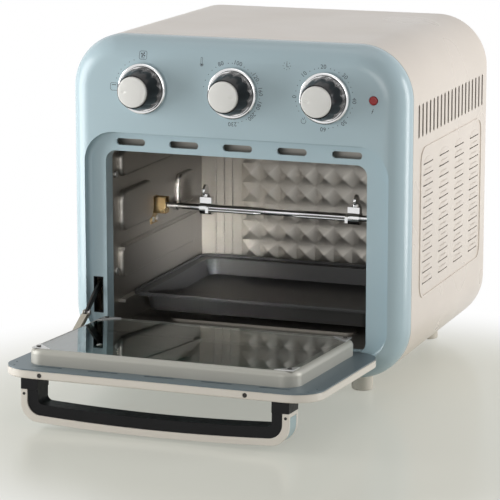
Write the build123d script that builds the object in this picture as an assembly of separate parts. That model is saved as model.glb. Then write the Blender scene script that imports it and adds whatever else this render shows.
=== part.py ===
from build123d import *

import math
import os

# Countertop air fryer oven with a drop-down door, millimetres.
# +X is right as seen from the front, the front faces -Y, +Z is up and Z = 0 is the table.
# The door is drawn standing open, as in its rest position.

# Cabinet
BODY_W = 330.0
BODY_H = 310.0
BODY_D = 275.0
CORNER_R = 50.5
FOOT_H = 13.0
SHEET = 1.0
REAR_INSET = 2.0
BASE_LIP = 5.0
BASE_T = 1.8
BASE_TURN = 14.0
FIT = 0.3
SCREW_FIT = 0.2
PAST = 1.0
OVERLAP = 0.1

# Front bezel
BEZEL_D = 24.5
BEZEL_WALL = 3.0
BEZEL_ROLL = 22.0
SEAM_GAP = 0.7

# Door seat and mouth of the oven in the bezel
SEAT_W = 298.4
SEAT_H = 200.0
SEAT_RISE = 19.9
SEAT_R = 30.0
SEAT_D = 11.5
SEAT_FILLET = 3.5
MOUTH_W = 257.7
MOUTH_H = 175.5
MOUTH_RISE = 25.0
MOUTH_SHIFT = -3.15
MOUTH_R = 10.0
THROAT_WALL = 2.5
THROAT_END = 27.0
THROAT_HOLE_RISES = (60.5, 137.0)
THROAT_HOLE_GAP = 4.4
THROAT_HOLE_IN = 4.75
THROAT_HOLE_R = 0.9

# Row of air slots over the mouth, repeated in the door plate
SLOT_COUNT = 5
SLOT_PITCH = 53.2
SLOT_L = 29.0
SLOT_H = 6.5
SLOT_RISE = 209.2

# Vents and louvres in the sides of the sleeve
VENT_COUNT = 19
VENT_PITCH = 12.0
VENT_W = 4.6
VENT_H = 31.0
VENT_Y0 = 43.0
VENT_DROP = 71.5
LOUVRE_ROWS = 12
LOUVRE_ROW_PITCH = 10.2
LOUVRE_COLS = 4
LOUVRE_COL_PITCH = 52.5
LOUVRE_L = 31.0
LOUVRE_H = 2.4
LOUVRE_Y0 = 59.0
LOUVRE_RISE = 83.5
PANEL_EMBOSS = 0.8
PANEL_MARGIN = 10.0
PANEL_BELOW = 13.0
PANEL_ABOVE = 17.0
PANEL_R = 14.0
PANEL_LINE_W = 2.0

# Vent slots in the base plate and the rear panel
BASE_VENTS = 10
BASE_VENT_PITCH = 14.0
BASE_VENT_Y0 = 70.0
BASE_VENT_L = 90.0
BASE_VENT_W = 4.0
REAR_VENT_COLS = 9
REAR_VENT_COL_PITCH = 22.0
REAR_VENT_ROW_PITCH = 8.0
REAR_VENT_L = 14.0
REAR_VENT_H = 3.0
REAR_VENT_TOP_ROWS = 6
REAR_VENT_TOP_DROP = 74.0
REAR_VENT_LOW_ROWS = 4
REAR_VENT_LOW_RISE = 28.0

# Feet
FOOT_R = 10.0
FOOT_X = 117.0
FOOT_FRONT = 30.0
FOOT_REAR_INSET = 30.0
FOOT_RISE = 4.0
FOOT_ROUND = 1.5
FOOT_SCREW_SEAT = 6.0

# Screws
SCREW_R = 1.6
SCREW_HEAD_R = 3.2
SCREW_HEAD_T = 1.6
SCREW_END = 2.0
CLIP_SCREW_R = 1.12
CLIP_SCREW_HEAD_R = 2.1
CLIP_SCREW_HEAD_T = 1.0
CLIP_SCREW_L = 4.0
BASE_SCREW_L = 6.0
BASE_SCREW_OUT = 6.0
BASE_SCREW_FRONT = 45.0
BASE_SCREW_REAR = 60.0
BASE_SCREW_SHIFT = 10.0
REAR_SCREW_L = 8.0
REAR_SCREW_IN = 11.0
REAR_SCREW_SPREAD_Z = 62.0
REAR_SCREW_SPREAD_X = 72.0
WALL_SCREW_L = 4.0
WALL_SCREW_IN = 9.5
WALL_SCREW_RISES = (79.0, 173.0)
RIM_SCREW_LEFT_IN = 41.0
RIM_SCREW_RIGHT_IN = 63.0
RIM_SCREW_L = 4.5
RIM_SCREW_SINK = 1.2
RIM_SCREW_HEAD_R = 2.0
RIM_SCREW_HEAD_T = 1.1

# Tabs that carry the rear panel
TAB_L = 17.0
TAB_HALF = 9.0
TAB_T = 1.5

# Cord gland and mains terminals
GLAND_X = 146.0
GLAND_RISE = 60.0
GLAND_R = 7.5
GLAND_FLANGE = 3.0
GLAND_L = 9.0
GLAND_BARB = 1.5
GLAND_BARB_GAP = 2.5
GLAND_BORE_R = 3.6
TERMINAL_X = 62.0
TERMINAL_REAR = 40.0
TERMINAL_L = 34.0
TERMINAL_D = 15.0
TERMINAL_H = 14.0
TERMINAL_PITCH = 11.0
TERMINAL_SCREW_R = 2.0
TERMINAL_SCREW_IN = 4.0
TERMINAL_BORE_R = 1.8
TERMINAL_BORE_RISE = 5.0

# Cooking chamber
CHAMBER_SIDE = 0.9
CHAMBER_FLOOR_DROP = 1.0
CHAMBER_RISE = 209.0
CHAMBER_BACK_GAP = 13.0
TRAY_RAIL_RISE = 50.5
RAIL_STEP = 51.0
RAIL_W = 7.0
RAIL_T = 3.0
RAIL_FRONT = 14.0
RAIL_REAR = 12.0
FLOOR_RIBS = 3
FLOOR_RIB_Y0 = 90.0
FLOOR_RIB_PITCH = 55.0
FLOOR_RIB_L = 190.0
FLOOR_RIB_W = 20.0
FLOOR_RIB_H = 2.0
BACK_RIBS = 3
BACK_RIB_IN = 14.0
BACK_RIB_PITCH = 9.0
BACK_RIB_W = 4.5
BACK_RIB_T = 1.6
BACK_RIB_MARGIN = 15.0

# Pressed fields of a chamber side: middle y, rise of the middle, length, height, corner radius
FIELDS = (
    (138.0, 87.0, 194.0, 32.0, 10.0),
    (81.5, 135.0, 79.0, 40.0, 12.0),
    (210.5, 131.0, 49.0, 32.0, 12.0),
    (138.0, 182.0, 194.0, 26.0, 10.0),
)
FIELD_DEPTH = 5.0
FIELD_ROUND = 3.0

# Fan, heater and guard under the chamber roof
FAN_X = MOUTH_SHIFT
FAN_Y = 150.0
FAN_HOLE_R = 74.0
FAN_R = 52.0
FAN_DISC_R = 46.0
FAN_HUB_R = 11.0
FAN_HUB_STEP = 3.0
FAN_LIFT = 8.0
FAN_DEPTH = 13.0
FAN_BLADES = 8
FAN_BLADE_IN = 21.0
FAN_BLADE_H = 12.0
FAN_BLADE_T = 1.2
FAN_BLADE_PITCH = 18.0
FAN_DRUM_H = 26.0
FAN_SHAFT_R = 3.0
FAN_SHAFT_ROOM = 1.5
SHAFT_RUN = 0.08
HEATER_R = 58.0
HEATER_TUBE_R = 3.3
HEATER_DROP = 10.0
HEATER_LEAD = 14.0
HEATER_LEG_H = 34.0
GUARD_R = 88.0
GUARD_DROP = 19.0
GUARD_RIM = 8.0
GUARD_ROUND = 7.0
GUARD_SHEET = 1.0
GUARD_SCREW_IN = 4.0
GUARD_RINGS = ((18.0, 8), (34.0, 14), (50.0, 20), (65.0, 26))
GUARD_HOLE_R = 4.2
MOTOR_R = 27.0
MOTOR_H = 26.0
MOTOR_LIFT = 10.0
MOTOR_ROUND = 2.0
MOTOR_LEG_X = 36.0
MOTOR_LEG_T = 2.0
MOTOR_LEG_W = 16.0
MOTOR_TOE_L = 9.0
MOTOR_TOE_T = 1.2
MOTOR_SHAFT_END = 2.0

# Rotisserie
SPIT_Y = 130.0
SPIT_RISE = 127.5
SPIT_R = 3.0
SPIT_LEFT_GAP = 6.0
SPIT_RIGHT_GAP = 12.0
SPIT_COLLAR_IN = 16.0
SPIT_COLLAR_L = 4.0
SPIT_COLLAR = 1.6
SPIT_SQUARE_HALF = 2.7
SPIT_SQUARE_IN = 5.0
SPIT_SQUARE_OUT = 14.0
SPIT_POINT = 1.0
SPIT_DRIVE_R = 6.5
DRIVE_ROOM = 1.0
SOCKET_IN = 11.0
SOCKET_OUT = 9.0
SOCKET_DEEP = 4.0
SQUARE_FIT = 0.1
BRACKET_T = 1.2
BRACKET_REACH = 15.0
BRACKET_GAP = 8.0
BRACKET_HALF = 8.0
BRACKET_BELOW = 19.0
BRACKET_SCREW_SPREAD = 4.5
BRACKET_SCREW_DROP = 14.5
BRACKET_SCREW_HEAD_R = 2.6
BRACKET_SCREW_L = 5.0
FORK_X = 70.0
FORK_HUB_L = 12.0
FORK_HUB_R = 6.5
FORK_BOSS_W = 8.0
FORK_BOSS_H = 11.0
FORK_BAR_T = 3.0
FORK_BAR_H = 6.0
FORK_BAR_END = 2.0
FORK_TINE_L = 46.0
FORK_TINE_R = 1.5
FORK_TIP_L = 8.0
FORK_TIP_R = 0.35
FORK_SPREAD = 11.0
THUMB_IN = 7.5
THUMB_R = 1.95
THUMB_BORE_R = 2.0
THUMB_TIP_GAP = 0.2
THUMB_COLLAR_R = 4.2
THUMB_COLLAR_H = 3.0
THUMB_WING_R = 6.0
THUMB_WING_T = 2.2
GEARMOTOR_R = 25.0
GEARMOTOR_T = 17.0
GEARMOTOR_GAP = 3.0
GEARMOTOR_ROUND = 1.5
GEARMOTOR_EAR_Y = 29.0
GEARMOTOR_EAR_W = 16.0
GEARMOTOR_EAR_H = 12.0
GEARMOTOR_EAR_R = 4.0
GEARMOTOR_EAR_T = 1.6
GEARMOTOR_POST_R = 3.5

# Baking tray
TRAY_SIDE_GAP = 3.5
TRAY_FRONT_Y = 61.0
TRAY_BACK_GAP = 5.0
TRAY_DEEP = 17.0
TRAY_SHEET = 1.0
TRAY_RIM = 9.0
TRAY_R = 14.0
TRAY_SLOPE = 4.0
TRAY_LIP_H = 2.5
TRAY_LIP_W = 2.0

# Knobs
KNOB_DROP = 47.8
KNOB_PITCH = 88.9
SKIRT_R = 24.0
SKIRT_T = 4.0
SKIRT_ROUND = 2.6
SKIRT_DISH = 1.4
SKIRT_GRIP_GAP = 0.6
KNOB_FACE_GAP = 1.2
GRIP_R = 20.5
GRIP_TOP_R = 16.6
GRIP_H = 21.5
FLUTES = 16
FLUTE_R = 2.3
FLUTE_OUT = 0.8
CAP_R = 14.3
CAP_T = 2.4
CAP_SINK = 1.6
CAP_FIT = 0.1
CAP_ROUND = 1.8
CAP_MARK_OUT = 8.0
CAP_MARK_R = 1.1
CAP_MARK_DEEP = 1.0
SHAFT_R = 3.0
SHAFT_FLAT = 1.65
SHAFT_IN_KNOB = 9.0
SHAFT_IN_UNIT = 13.0
SHAFT_END_GAP = 0.5
SHAFT_FIT = 0.05
SHAFT_HOLE_R = 4.5

# Selector switch, thermostat and timer behind the knobs
UNIT_D = 19.0
UNIT_SIZE = 32.0
UNIT_PLATE_T = 1.2
UNIT_PLATE_OUT = 5.0
UNIT_R = 3.0
TIMER_BELL_IN = 4.0
TIMER_BELL_D = 14.0
THERMOSTAT_SIZE = 26.0
THERMOSTAT_LEAD_W = 10.0
SWITCH_SIZE = 28.0
SWITCH_TAGS = 4
SWITCH_TAG_PITCH = 6.0
SWITCH_TAG_T = 0.8
SWITCH_TAG_W = 6.0
SWITCH_TAG_L = 8.0

# Indicator
LAMP_X = 134.7
LAMP_R = 4.0
LENS_PROUD = 1.6
LENS_ROUND = 1.4
LENS_WALL = 1.0
LENS_END = 4.0
LENS_FLANGE = 2.0
LENS_FLANGE_T = 1.5
BULB_WALL_GAP = 0.6
BULB_Y = 4.0
BULB_L = 10.5

# Door
HINGE_Y = 0.0
HINGE_UNDER_SEAT = 0.5
OPEN_TILT = 2.7
DOOR_GAP = 1.2
DOOR_EDGE = 2.5
DOOR_OUT = 2.0
DOOR_IN = 10.5
DOOR_R = 29.0
DOOR_ROUND = 1.8
RIM_WALL = 3.0
FACE_PANEL_T = 1.4
FACE_LEDGE = 1.0
FACE_FIT = 0.2
DOOR_WEB = 2.0
PLATE_T = 1.2
PLATE_INSET = 0.4
PLATE_SLOT_W = 3.0
PLATE_SLOT_IN = 16.0
PLATE_DOT_R = 1.0
PLATE_DOT_EDGE = 7.0
PLATE_DOT_INS = (27.0, 14.0)
PLATE_DOT_LEAN = 0.28
PLATE_NOTCH_L = 2.0
GROOVE = 0.5
GROOVE_IN = 0.7
FRAME_GAP = 1.6
FRAME_U0 = 7.3
FRAME_U1 = 178.5
FRAME_H = 14.0
FRAME_R = 17.0
FRAME_ROUND = 5.0
FRAME_WALL = 2.2
FRAME_LIP = 4.5
FRAME_LEDGE = 7.0
FRAME_TOP_T = 4.2
GLASS_T = 3.0
GLASS_PROUD = 0.4
GLASS_CUT = 15.0
INNER_GLASS_T = 2.5
OUTER_GLASS_LAP = 5.0
WINDOW_IN = 15.0
WINDOW_R = 10.0
PLATE_WINDOW_OUT = 4.0
FACE_WINDOW_IN = 1.0
CLIP_T = 0.8
CLIP_EDGE = 4.6
CLIP_PAST = 2.5
CLIP_SCREW_IN = 4.8

# Door hinges
LUG_R = 2.7
PIN_R = 1.25
PIN_FIT = 0.05
LUG_X = 102.0
LUG_W = 14.0
LUG_WEB_U = 2.0
LUG_WEB_H = 3.0
EAR_T = 2.4
EAR_GAP = 0.4
EAR_END = 2.0
HINGE_BASE_T = 1.5
HINGE_BASE_FRONT = 4.5
HINGE_BASE_REAR = 9.0
POCKET_ROOM = 0.8
POCKET_END = 1.5

# Handle
HANDLE_X = 117.0
HANDLE_LEG_W = 16.0
HANDLE_GAP = 22.5
HANDLE_BAR_T = 16.0
HANDLE_BOW = 3.0
HANDLE_D = 24.0
HANDLE_EDGE = 1.0
HANDLE_COVER_T = 6.2
HANDLE_R = 17.0
HANDLE_CORE_R = 12.8
HANDLE_CORE_IN = 1.2
HANDLE_INNER_R = 5.0
HANDLE_BLACK_DROP = 9.5
HANDLE_SCREW_SPREAD = 5.0
HANDLE_SCREW_DEEP = 11.0
PILLAR_HALF = 9.0
PILLAR_R = 3.0
INLAY_T = 1.4
INLAY_IN = 4.0
INLAY_SINK = 0.2
INLAY_FIT = 0.1

# Door stay on the left
STAY_X = -141.0
STAY_SLOT_W = 10.0
STAY_SLOT_RISE = 43.0
STAY_SLOT_H = 35.0
STAY_BUSH_T = 0.8
BUSH_FIT = 0.1
BUSH_PROUD = 0.2
BUSH_END = 3.0
RIVET_Y = -17.4
RIVET_UP = 29.7
RIVET_R = 1.5
RIVET_HEAD = 0.9
RIVET_HEAD_T = 0.7
STRUT_FOOT_Y = -50.0
STRUT_FOOT_OUT = 10.0
STRUT_FOOT_IN = 2.0
STRUT_W = 6.0
STRUT_T = 0.8
STRUT_H = 5.0
STRUT_END = 3.0
STRUT_MOUTH = 5.0
ARM_T = 2.0
ARM_L = 44.0
ARM_H = 7.0
ARM_BEND = 1.6
ARM_TIP = 0.75
ARM_ANGLE = 31.0

# Places worked out from the sizes above
BOTTOM = FOOT_H
TOP = BOTTOM + BODY_H
MID_Z = BOTTOM + BODY_H / 2
BACK = BODY_D
REAR_Y = BACK - REAR_INSET
SLEEVE_Y = BEZEL_D + SEAM_GAP
BASE_HALF = BODY_W / 2 - CORNER_R - BASE_TURN
BASE_TOP = BOTTOM + SHEET + BASE_T
SEAT_Z0 = BOTTOM + SEAT_RISE
SEAT_MID = SEAT_Z0 + SEAT_H / 2
MOUTH_Z0 = BOTTOM + MOUTH_RISE
MOUTH_Z1 = MOUTH_Z0 + MOUTH_H
MOUTH_MID = MOUTH_Z0 + MOUTH_H / 2
MOUTH_X0 = MOUTH_SHIFT - MOUTH_W / 2
MOUTH_X1 = MOUTH_SHIFT + MOUTH_W / 2
SLOT_Z = BOTTOM + SLOT_RISE
GLAND_Z = BOTTOM + GLAND_RISE
CH_X0 = MOUTH_X0 - CHAMBER_SIDE
CH_X1 = MOUTH_X1 + CHAMBER_SIDE
CH_FLOOR = MOUTH_Z0 - CHAMBER_FLOOR_DROP
CH_TOP = BOTTOM + CHAMBER_RISE
CH_BACK = BACK - CHAMBER_BACK_GAP
DRUM_TOP = CH_TOP + SHEET + FAN_DRUM_H
SPIT_Z = BOTTOM + SPIT_RISE
RAIL_Z = BOTTOM + TRAY_RAIL_RISE
KNOB_Z = TOP - KNOB_DROP
GRIP_BACK_Y = -KNOB_FACE_GAP - SKIRT_T + SKIRT_DISH
GRIP_FRONT_Y = GRIP_BACK_Y - GRIP_H
SHAFT_FRONT_Y = -KNOB_FACE_GAP - SKIRT_T - SHAFT_IN_KNOB
HINGE_Z = SEAT_Z0 - HINGE_UNDER_SEAT
DOOR_HALF = SEAT_W / 2 - DOOR_GAP
DOOR_U0 = DOOR_EDGE
DOOR_U1 = SEAT_Z0 + SEAT_H - DOOR_GAP - HINGE_Z
FRAME_X0 = MOUTH_X0 + FRAME_GAP
FRAME_X1 = MOUTH_X1 - FRAME_GAP
FRAME_MID_X = (FRAME_X0 + FRAME_X1) / 2
FRAME_MID_U = (FRAME_U0 + FRAME_U1) / 2
SHELL_TOP = DOOR_IN - PLATE_T
WEB_TOP = DOOR_OUT + FACE_PANEL_T + DOOR_WEB
FRAME_TOP = DOOR_IN + FRAME_H
PANE_SEAT = FRAME_TOP - GLASS_T + GLASS_PROUD
HANDLE_TOP = DOOR_OUT
HANDLE_OUT_X = HANDLE_X + HANDLE_LEG_W / 2
HANDLE_IN_X = HANDLE_X - HANDLE_LEG_W / 2
HANDLE_DROP = HANDLE_GAP + HANDLE_BAR_T
HANDLE_LOW = HANDLE_TOP - HANDLE_DROP - HANDLE_BOW
HANDLE_U1 = DOOR_U1 - HANDLE_EDGE
HANDLE_U0 = HANDLE_U1 - HANDLE_D
HANDLE_MID_U = (HANDLE_U0 + HANDLE_U1) / 2
STAY_SLOT_Z0 = BOTTOM + STAY_SLOT_RISE
RIVET_Z = HINGE_Z + RIVET_UP
REACH = HANDLE_U1 * math.cos(math.radians(OPEN_TILT)) - HANDLE_LOW * math.sin(math.radians(OPEN_TILT))
MIDDLE_Y = (BACK + HINGE_Y - REACH) / 2


def block(x0, x1, y0, y1, z0, z1):
    """A plain block between two corners."""
    return Pos((x0 + x1) / 2, (y0 + y1) / 2, (z0 + z1) / 2) * Box(x1 - x0, y1 - y0, z1 - z0)


def slab_y(cx, cz, w, h, r, y0, y1):
    """A round-cornered slab seen from the front, from y0 back to y1."""
    face = Plane.XZ.offset(-y1) * Pos(cx, cz) * RectangleRounded(w, h, r)
    return extrude(face, amount=y1 - y0)


def slab_x(cy, cz, d, h, r, x0, x1):
    """A round-cornered slab seen from the side, from x0 to x1."""
    face = Plane.YZ.offset(x0) * Pos(cy, cz) * RectangleRounded(d, h, r)
    return extrude(face, amount=x1 - x0)


def slab_z(cx, cy, w, d, r, z0, z1):
    """A round-cornered slab seen from above, from z0 up to z1."""
    face = Plane.XY.offset(z0) * Pos(cx, cy) * RectangleRounded(w, d, r)
    return extrude(face, amount=z1 - z0)


def rod_x(x0, x1, y, z, r):
    """A cylinder along X."""
    return Pos((x0 + x1) / 2, y, z) * Rot(0, 90, 0) * Cylinder(r, x1 - x0)


def rod_y(y0, y1, x, z, r):
    """A cylinder along Y."""
    return Pos(x, (y0 + y1) / 2, z) * Rot(90, 0, 0) * Cylinder(r, y1 - y0)


def rod_z(z0, z1, x, y, r):
    """A cylinder along Z."""
    return Pos(x, y, (z0 + z1) / 2) * Cylinder(r, z1 - z0)


def round_end(width):
    """The corner radius that gives a slot round ends."""
    return width / 2 - 0.01


def front_edges(shape):
    """Edges of the face nearest the front."""
    return shape.faces().sort_by(Axis.Y)[0].edges()


def back_edges(shape):
    """Edges of the face nearest the back."""
    return shape.faces().sort_by(Axis.Y)[-1].edges()


def slot_xs():
    """Middles of the air slots along X."""
    first = -(SLOT_COUNT - 1) / 2 * SLOT_PITCH
    return [first + i * SLOT_PITCH for i in range(SLOT_COUNT)]


def knob_xs():
    """Middles of the three knobs along X."""
    return [-KNOB_PITCH, 0.0, KNOB_PITCH]


# Front bezel
def front_bezel():
    """One moulding: rolled rim, control panel, door seat and throat of the mouth."""
    w = BEZEL_WALL
    shell = slab_y(0, MID_Z, BODY_W, BODY_H, CORNER_R, 0, BEZEL_D)
    shell = fillet(front_edges(shell), BEZEL_ROLL)
    inside = slab_y(0, MID_Z, BODY_W - 2 * w, BODY_H - 2 * w, CORNER_R - w, w, BEZEL_D + PAST)
    shell -= fillet(front_edges(inside), BEZEL_ROLL - w)
    shell += slab_y(0, SEAT_MID, SEAT_W + 2 * w, SEAT_H + 2 * w, SEAT_R + w, w - GROOVE, SEAT_D + w)
    seat = slab_y(0, SEAT_MID, SEAT_W, SEAT_H, SEAT_R, -PAST, SEAT_D)
    shell -= fillet(back_edges(seat), SEAT_FILLET)
    t = THROAT_WALL
    shell += slab_y(MOUTH_SHIFT, MOUTH_MID, MOUTH_W + 2 * t, MOUTH_H + 2 * t, MOUTH_R + t, SEAT_D, THROAT_END)
    shell -= slab_y(MOUTH_SHIFT, MOUTH_MID, MOUTH_W, MOUTH_H, MOUTH_R, -PAST, THROAT_END + PAST)
    for x in slot_xs():
        shell -= slab_y(x, SLOT_Z, SLOT_L, SLOT_H, round_end(SLOT_H), SEAT_D - PAST, SEAT_D + w + PAST)
    for x in knob_xs():
        shell -= rod_y(-PAST, w + PAST, x, KNOB_Z, SHAFT_HOLE_R)
    shell -= rod_y(-PAST, w + PAST, LAMP_X, KNOB_Z, LAMP_R + FIT)
    half = STAY_SLOT_W / 2
    slot_y0 = SEAT_D - SEAT_FILLET
    slot_y1 = SEAT_D + w + PAST
    shell -= block(STAY_X - half, STAY_X + half, slot_y0, slot_y1, STAY_SLOT_Z0, STAY_SLOT_Z0 + STAY_SLOT_H)
    for side in (-1, 1):
        shell -= hinge_pocket(side)
    for rise in THROAT_HOLE_RISES:
        for up in (-1, 1):
            z = MOUTH_Z0 + rise + up * THROAT_HOLE_GAP / 2
            shell -= rod_x(MOUTH_X0 - t - PAST, MOUTH_X0 + PAST, SEAT_D + THROAT_HOLE_IN, z, THROAT_HOLE_R)
    return shell


def hinge_span(side, extra):
    """X from and to of one hinge, with room at each end."""
    half = LUG_W / 2 + EAR_GAP + EAR_T + extra
    return side * LUG_X - half, side * LUG_X + half


def hinge_pocket(side):
    """Room in the bezel for one hinge, open to the front."""
    x0, x1 = hinge_span(side, FIT)
    y0 = HINGE_Y - LUG_R - POCKET_ROOM - 5 * PAST
    return block(x0, x1, y0, SEAT_D - POCKET_END, SEAT_Z0 - BEZEL_WALL - POCKET_ROOM, SEAT_Z0 + PAST)


# Cabinet sleeve, rear panel, base and feet
def cabinet_sleeve():
    """Folded sheet of the sides and the top, open below, with vents, louvres and rear tabs."""
    s = SHEET
    outer = slab_y(0, MID_Z, BODY_W, BODY_H, CORNER_R, SLEEVE_Y, BACK)
    inner = slab_y(0, MID_Z, BODY_W - 2 * s, BODY_H - 2 * s, CORNER_R - s, SLEEVE_Y - PAST, BACK + PAST)
    sleeve = outer - inner
    sleeve -= block(-BASE_HALF, BASE_HALF, SLEEVE_Y - PAST, BACK + PAST, BOTTOM - PAST, BOTTOM + 2 * s)
    sleeve += side_panel_line() + side_panel_line().mirror(Plane.YZ)
    cuts = []
    for i in range(VENT_COUNT):
        y = VENT_Y0 + i * VENT_PITCH
        cuts.append(slab_x(y, TOP - VENT_DROP, VENT_W, VENT_H, round_end(VENT_W), -BODY_W, BODY_W))
    for col in range(LOUVRE_COLS):
        for row in range(LOUVRE_ROWS):
            y = LOUVRE_Y0 + col * LOUVRE_COL_PITCH
            z = BOTTOM + LOUVRE_RISE + row * LOUVRE_ROW_PITCH
            cuts.append(block(-BODY_W, BODY_W, y, y + LOUVRE_L, z, z + LOUVRE_H))
    sleeve -= cuts
    for x, y in base_screw_places() + foot_places():
        sleeve -= rod_z(BOTTOM - PAST, BOTTOM + 2 * s, x, y, SCREW_R + SCREW_FIT)
    return sleeve + rear_tabs()


def side_panel_line():
    """The raised line round the louvres on the right side."""
    y0 = LOUVRE_Y0 - PANEL_MARGIN
    y1 = LOUVRE_Y0 + (LOUVRE_COLS - 1) * LOUVRE_COL_PITCH + LOUVRE_L + PANEL_MARGIN
    z0 = BOTTOM + LOUVRE_RISE - PANEL_BELOW
    z1 = BOTTOM + LOUVRE_RISE + (LOUVRE_ROWS - 1) * LOUVRE_ROW_PITCH + PANEL_ABOVE
    cy = (y0 + y1) / 2
    cz = (z0 + z1) / 2
    d = y1 - y0
    h = z1 - z0
    x = BODY_W / 2
    t = PANEL_LINE_W
    line = slab_x(cy, cz, d, h, PANEL_R, x - SHEET, x + PANEL_EMBOSS)
    return line - slab_x(cy, cz, d - 2 * t, h - 2 * t, PANEL_R - t, x - SHEET - PAST, x + PANEL_EMBOSS + PAST)


def base_screw_places():
    """Screws that hold the sleeve's lower edges to the base plate, as (x, y)."""
    ys = [BEZEL_D + BASE_SCREW_FRONT, BODY_D / 2 + BASE_SCREW_SHIFT, BODY_D - BASE_SCREW_REAR]
    return [(side * (BASE_HALF + BASE_SCREW_OUT), y) for side in (-1, 1) for y in ys]


def base_plate():
    """Bottom sheet, with its edges bent up inside the sleeve's corners."""
    y0 = SLEEVE_Y + FIT
    y1 = REAR_Y - SHEET
    half = FOOT_X + BASE_LIP
    flat = BODY_W / 2 - CORNER_R
    inner_r = CORNER_R - SHEET
    low = BOTTOM + SHEET
    bent = low + inner_r - math.sqrt(inner_r ** 2 - (half - flat) ** 2) + OVERLAP
    outline = Polyline(
        (-half, bent), (-flat, low), (flat, low), (half, bent),
        (half, BASE_TOP), (-half, BASE_TOP), close=True,
    )
    plate = extrude(Plane.XZ.offset(-y1) * make_face(outline), amount=y1 - y0)
    plate += block(-BASE_HALF + FIT, BASE_HALF - FIT, y0, y1, BOTTOM, BASE_TOP)
    for x, y in foot_places() + base_screw_places():
        plate -= rod_z(BOTTOM - PAST, BASE_TOP + 5 * PAST, x, y, SCREW_R + SCREW_FIT)
    vents = []
    for i in range(BASE_VENTS):
        y = BASE_VENT_Y0 + i * BASE_VENT_PITCH
        r = round_end(BASE_VENT_W)
        vents.append(slab_z(0, y, BASE_VENT_L, BASE_VENT_W, r, BOTTOM - PAST, BASE_TOP + 5 * PAST))
    return plate - vents


def foot_places():
    """Middles of the four feet, as (x, y)."""
    return [(side * FOOT_X, y) for side in (-1, 1) for y in (FOOT_FRONT, BODY_D - FOOT_REAR_INSET)]


def feet():
    """Four moulded feet, cut to the curve of the cabinet's bottom."""
    group = []
    body = slab_y(0, MID_Z, BODY_W, BODY_H, CORNER_R, -10 * PAST, BACK + 10 * PAST)
    for x, y in foot_places():
        foot = rod_z(0, BOTTOM + FOOT_RISE, x, y, FOOT_R)
        foot = fillet(foot.edges().sort_by(Axis.Z)[0], FOOT_ROUND) - body
        foot -= rod_z(-PAST, FOOT_SCREW_SEAT, x, y, SCREW_HEAD_R + FIT)
        foot -= rod_z(-PAST, BOTTOM + PAST, x, y, SCREW_R + SCREW_FIT)
        group.append(foot)
    return Compound(children=group)


def screw_up(x, y, z, length):
    """A screw driven upwards, its head's top face at z."""
    return rod_z(z - SCREW_HEAD_T, z, x, y, SCREW_HEAD_R) + rod_z(z, z + length, x, y, SCREW_R)


def screw_front(x, y, z, length):
    """A screw driven towards the front, its head's front face at y."""
    return rod_y(y, y + SCREW_HEAD_T, x, z, SCREW_HEAD_R) + rod_y(y - length, y, x, z, SCREW_R)


def screw_left(x, y, z, length, head_r, head_t):
    """A screw driven to the left, its head's left face at x."""
    return rod_x(x, x + head_t, y, z, head_r) + rod_x(x - length, x, y, z, SCREW_R)


def rear_panel():
    """Flat back of the cabinet, with two fields of air slots."""
    inset = SHEET + FIT
    y0 = REAR_Y - SHEET
    panel = slab_y(0, MID_Z, BODY_W - 2 * inset, BODY_H - 2 * inset, CORNER_R - inset, y0, REAR_Y)
    rows = [TOP - REAR_VENT_TOP_DROP + i * REAR_VENT_ROW_PITCH for i in range(REAR_VENT_TOP_ROWS)]
    rows += [BOTTOM + REAR_VENT_LOW_RISE + i * REAR_VENT_ROW_PITCH for i in range(REAR_VENT_LOW_ROWS)]
    cuts = []
    for z in rows:
        for col in range(REAR_VENT_COLS):
            x = (col - (REAR_VENT_COLS - 1) / 2) * REAR_VENT_COL_PITCH
            r = round_end(REAR_VENT_H)
            cuts.append(slab_y(x, z, REAR_VENT_L, REAR_VENT_H, r, y0 - PAST, REAR_Y + PAST))
    panel -= cuts
    panel -= rod_y(y0 - PAST, REAR_Y + PAST, GLAND_X, GLAND_Z, GLAND_R + FIT)
    for x, z in rear_screw_places():
        panel -= rod_y(y0 - PAST, REAR_Y + PAST, x, z, SCREW_R + SCREW_FIT)
    return panel


def rear_screw_places():
    """Screws round the rear panel, as (x, z)."""
    dx = BODY_W / 2 - REAR_SCREW_IN
    dz = BODY_H / 2 - REAR_SCREW_IN
    spots = [(side * dx, MID_Z + up * REAR_SCREW_SPREAD_Z) for side in (-1, 1) for up in (-1, 1)]
    spots += [(side * REAR_SCREW_SPREAD_X, MID_Z + dz) for side in (-1, 1)]
    return spots


def rear_tabs():
    """Folded tabs on the sleeve that carry the rear panel."""
    tabs = None
    y1 = REAR_Y - SHEET
    y0 = y1 - TAB_T
    for x, z in rear_screw_places():
        if abs(x) > BODY_W / 3:
            side = 1 if x > 0 else -1
            x1 = side * (BODY_W / 2 - SHEET / 2)
            lo, hi = sorted((x1, x1 - side * TAB_L))
            tab = block(lo, hi, y0, y1, z - TAB_HALF, z + TAB_HALF)
        else:
            z1 = TOP - SHEET / 2
            tab = block(x - TAB_HALF, x + TAB_HALF, y0, y1, z1 - TAB_L, z1)
        tab -= rod_y(y0 - PAST, y1 + PAST, x, z, SCREW_R + SCREW_FIT)
        tabs = tab if tabs is None else tabs + tab
    return tabs


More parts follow.
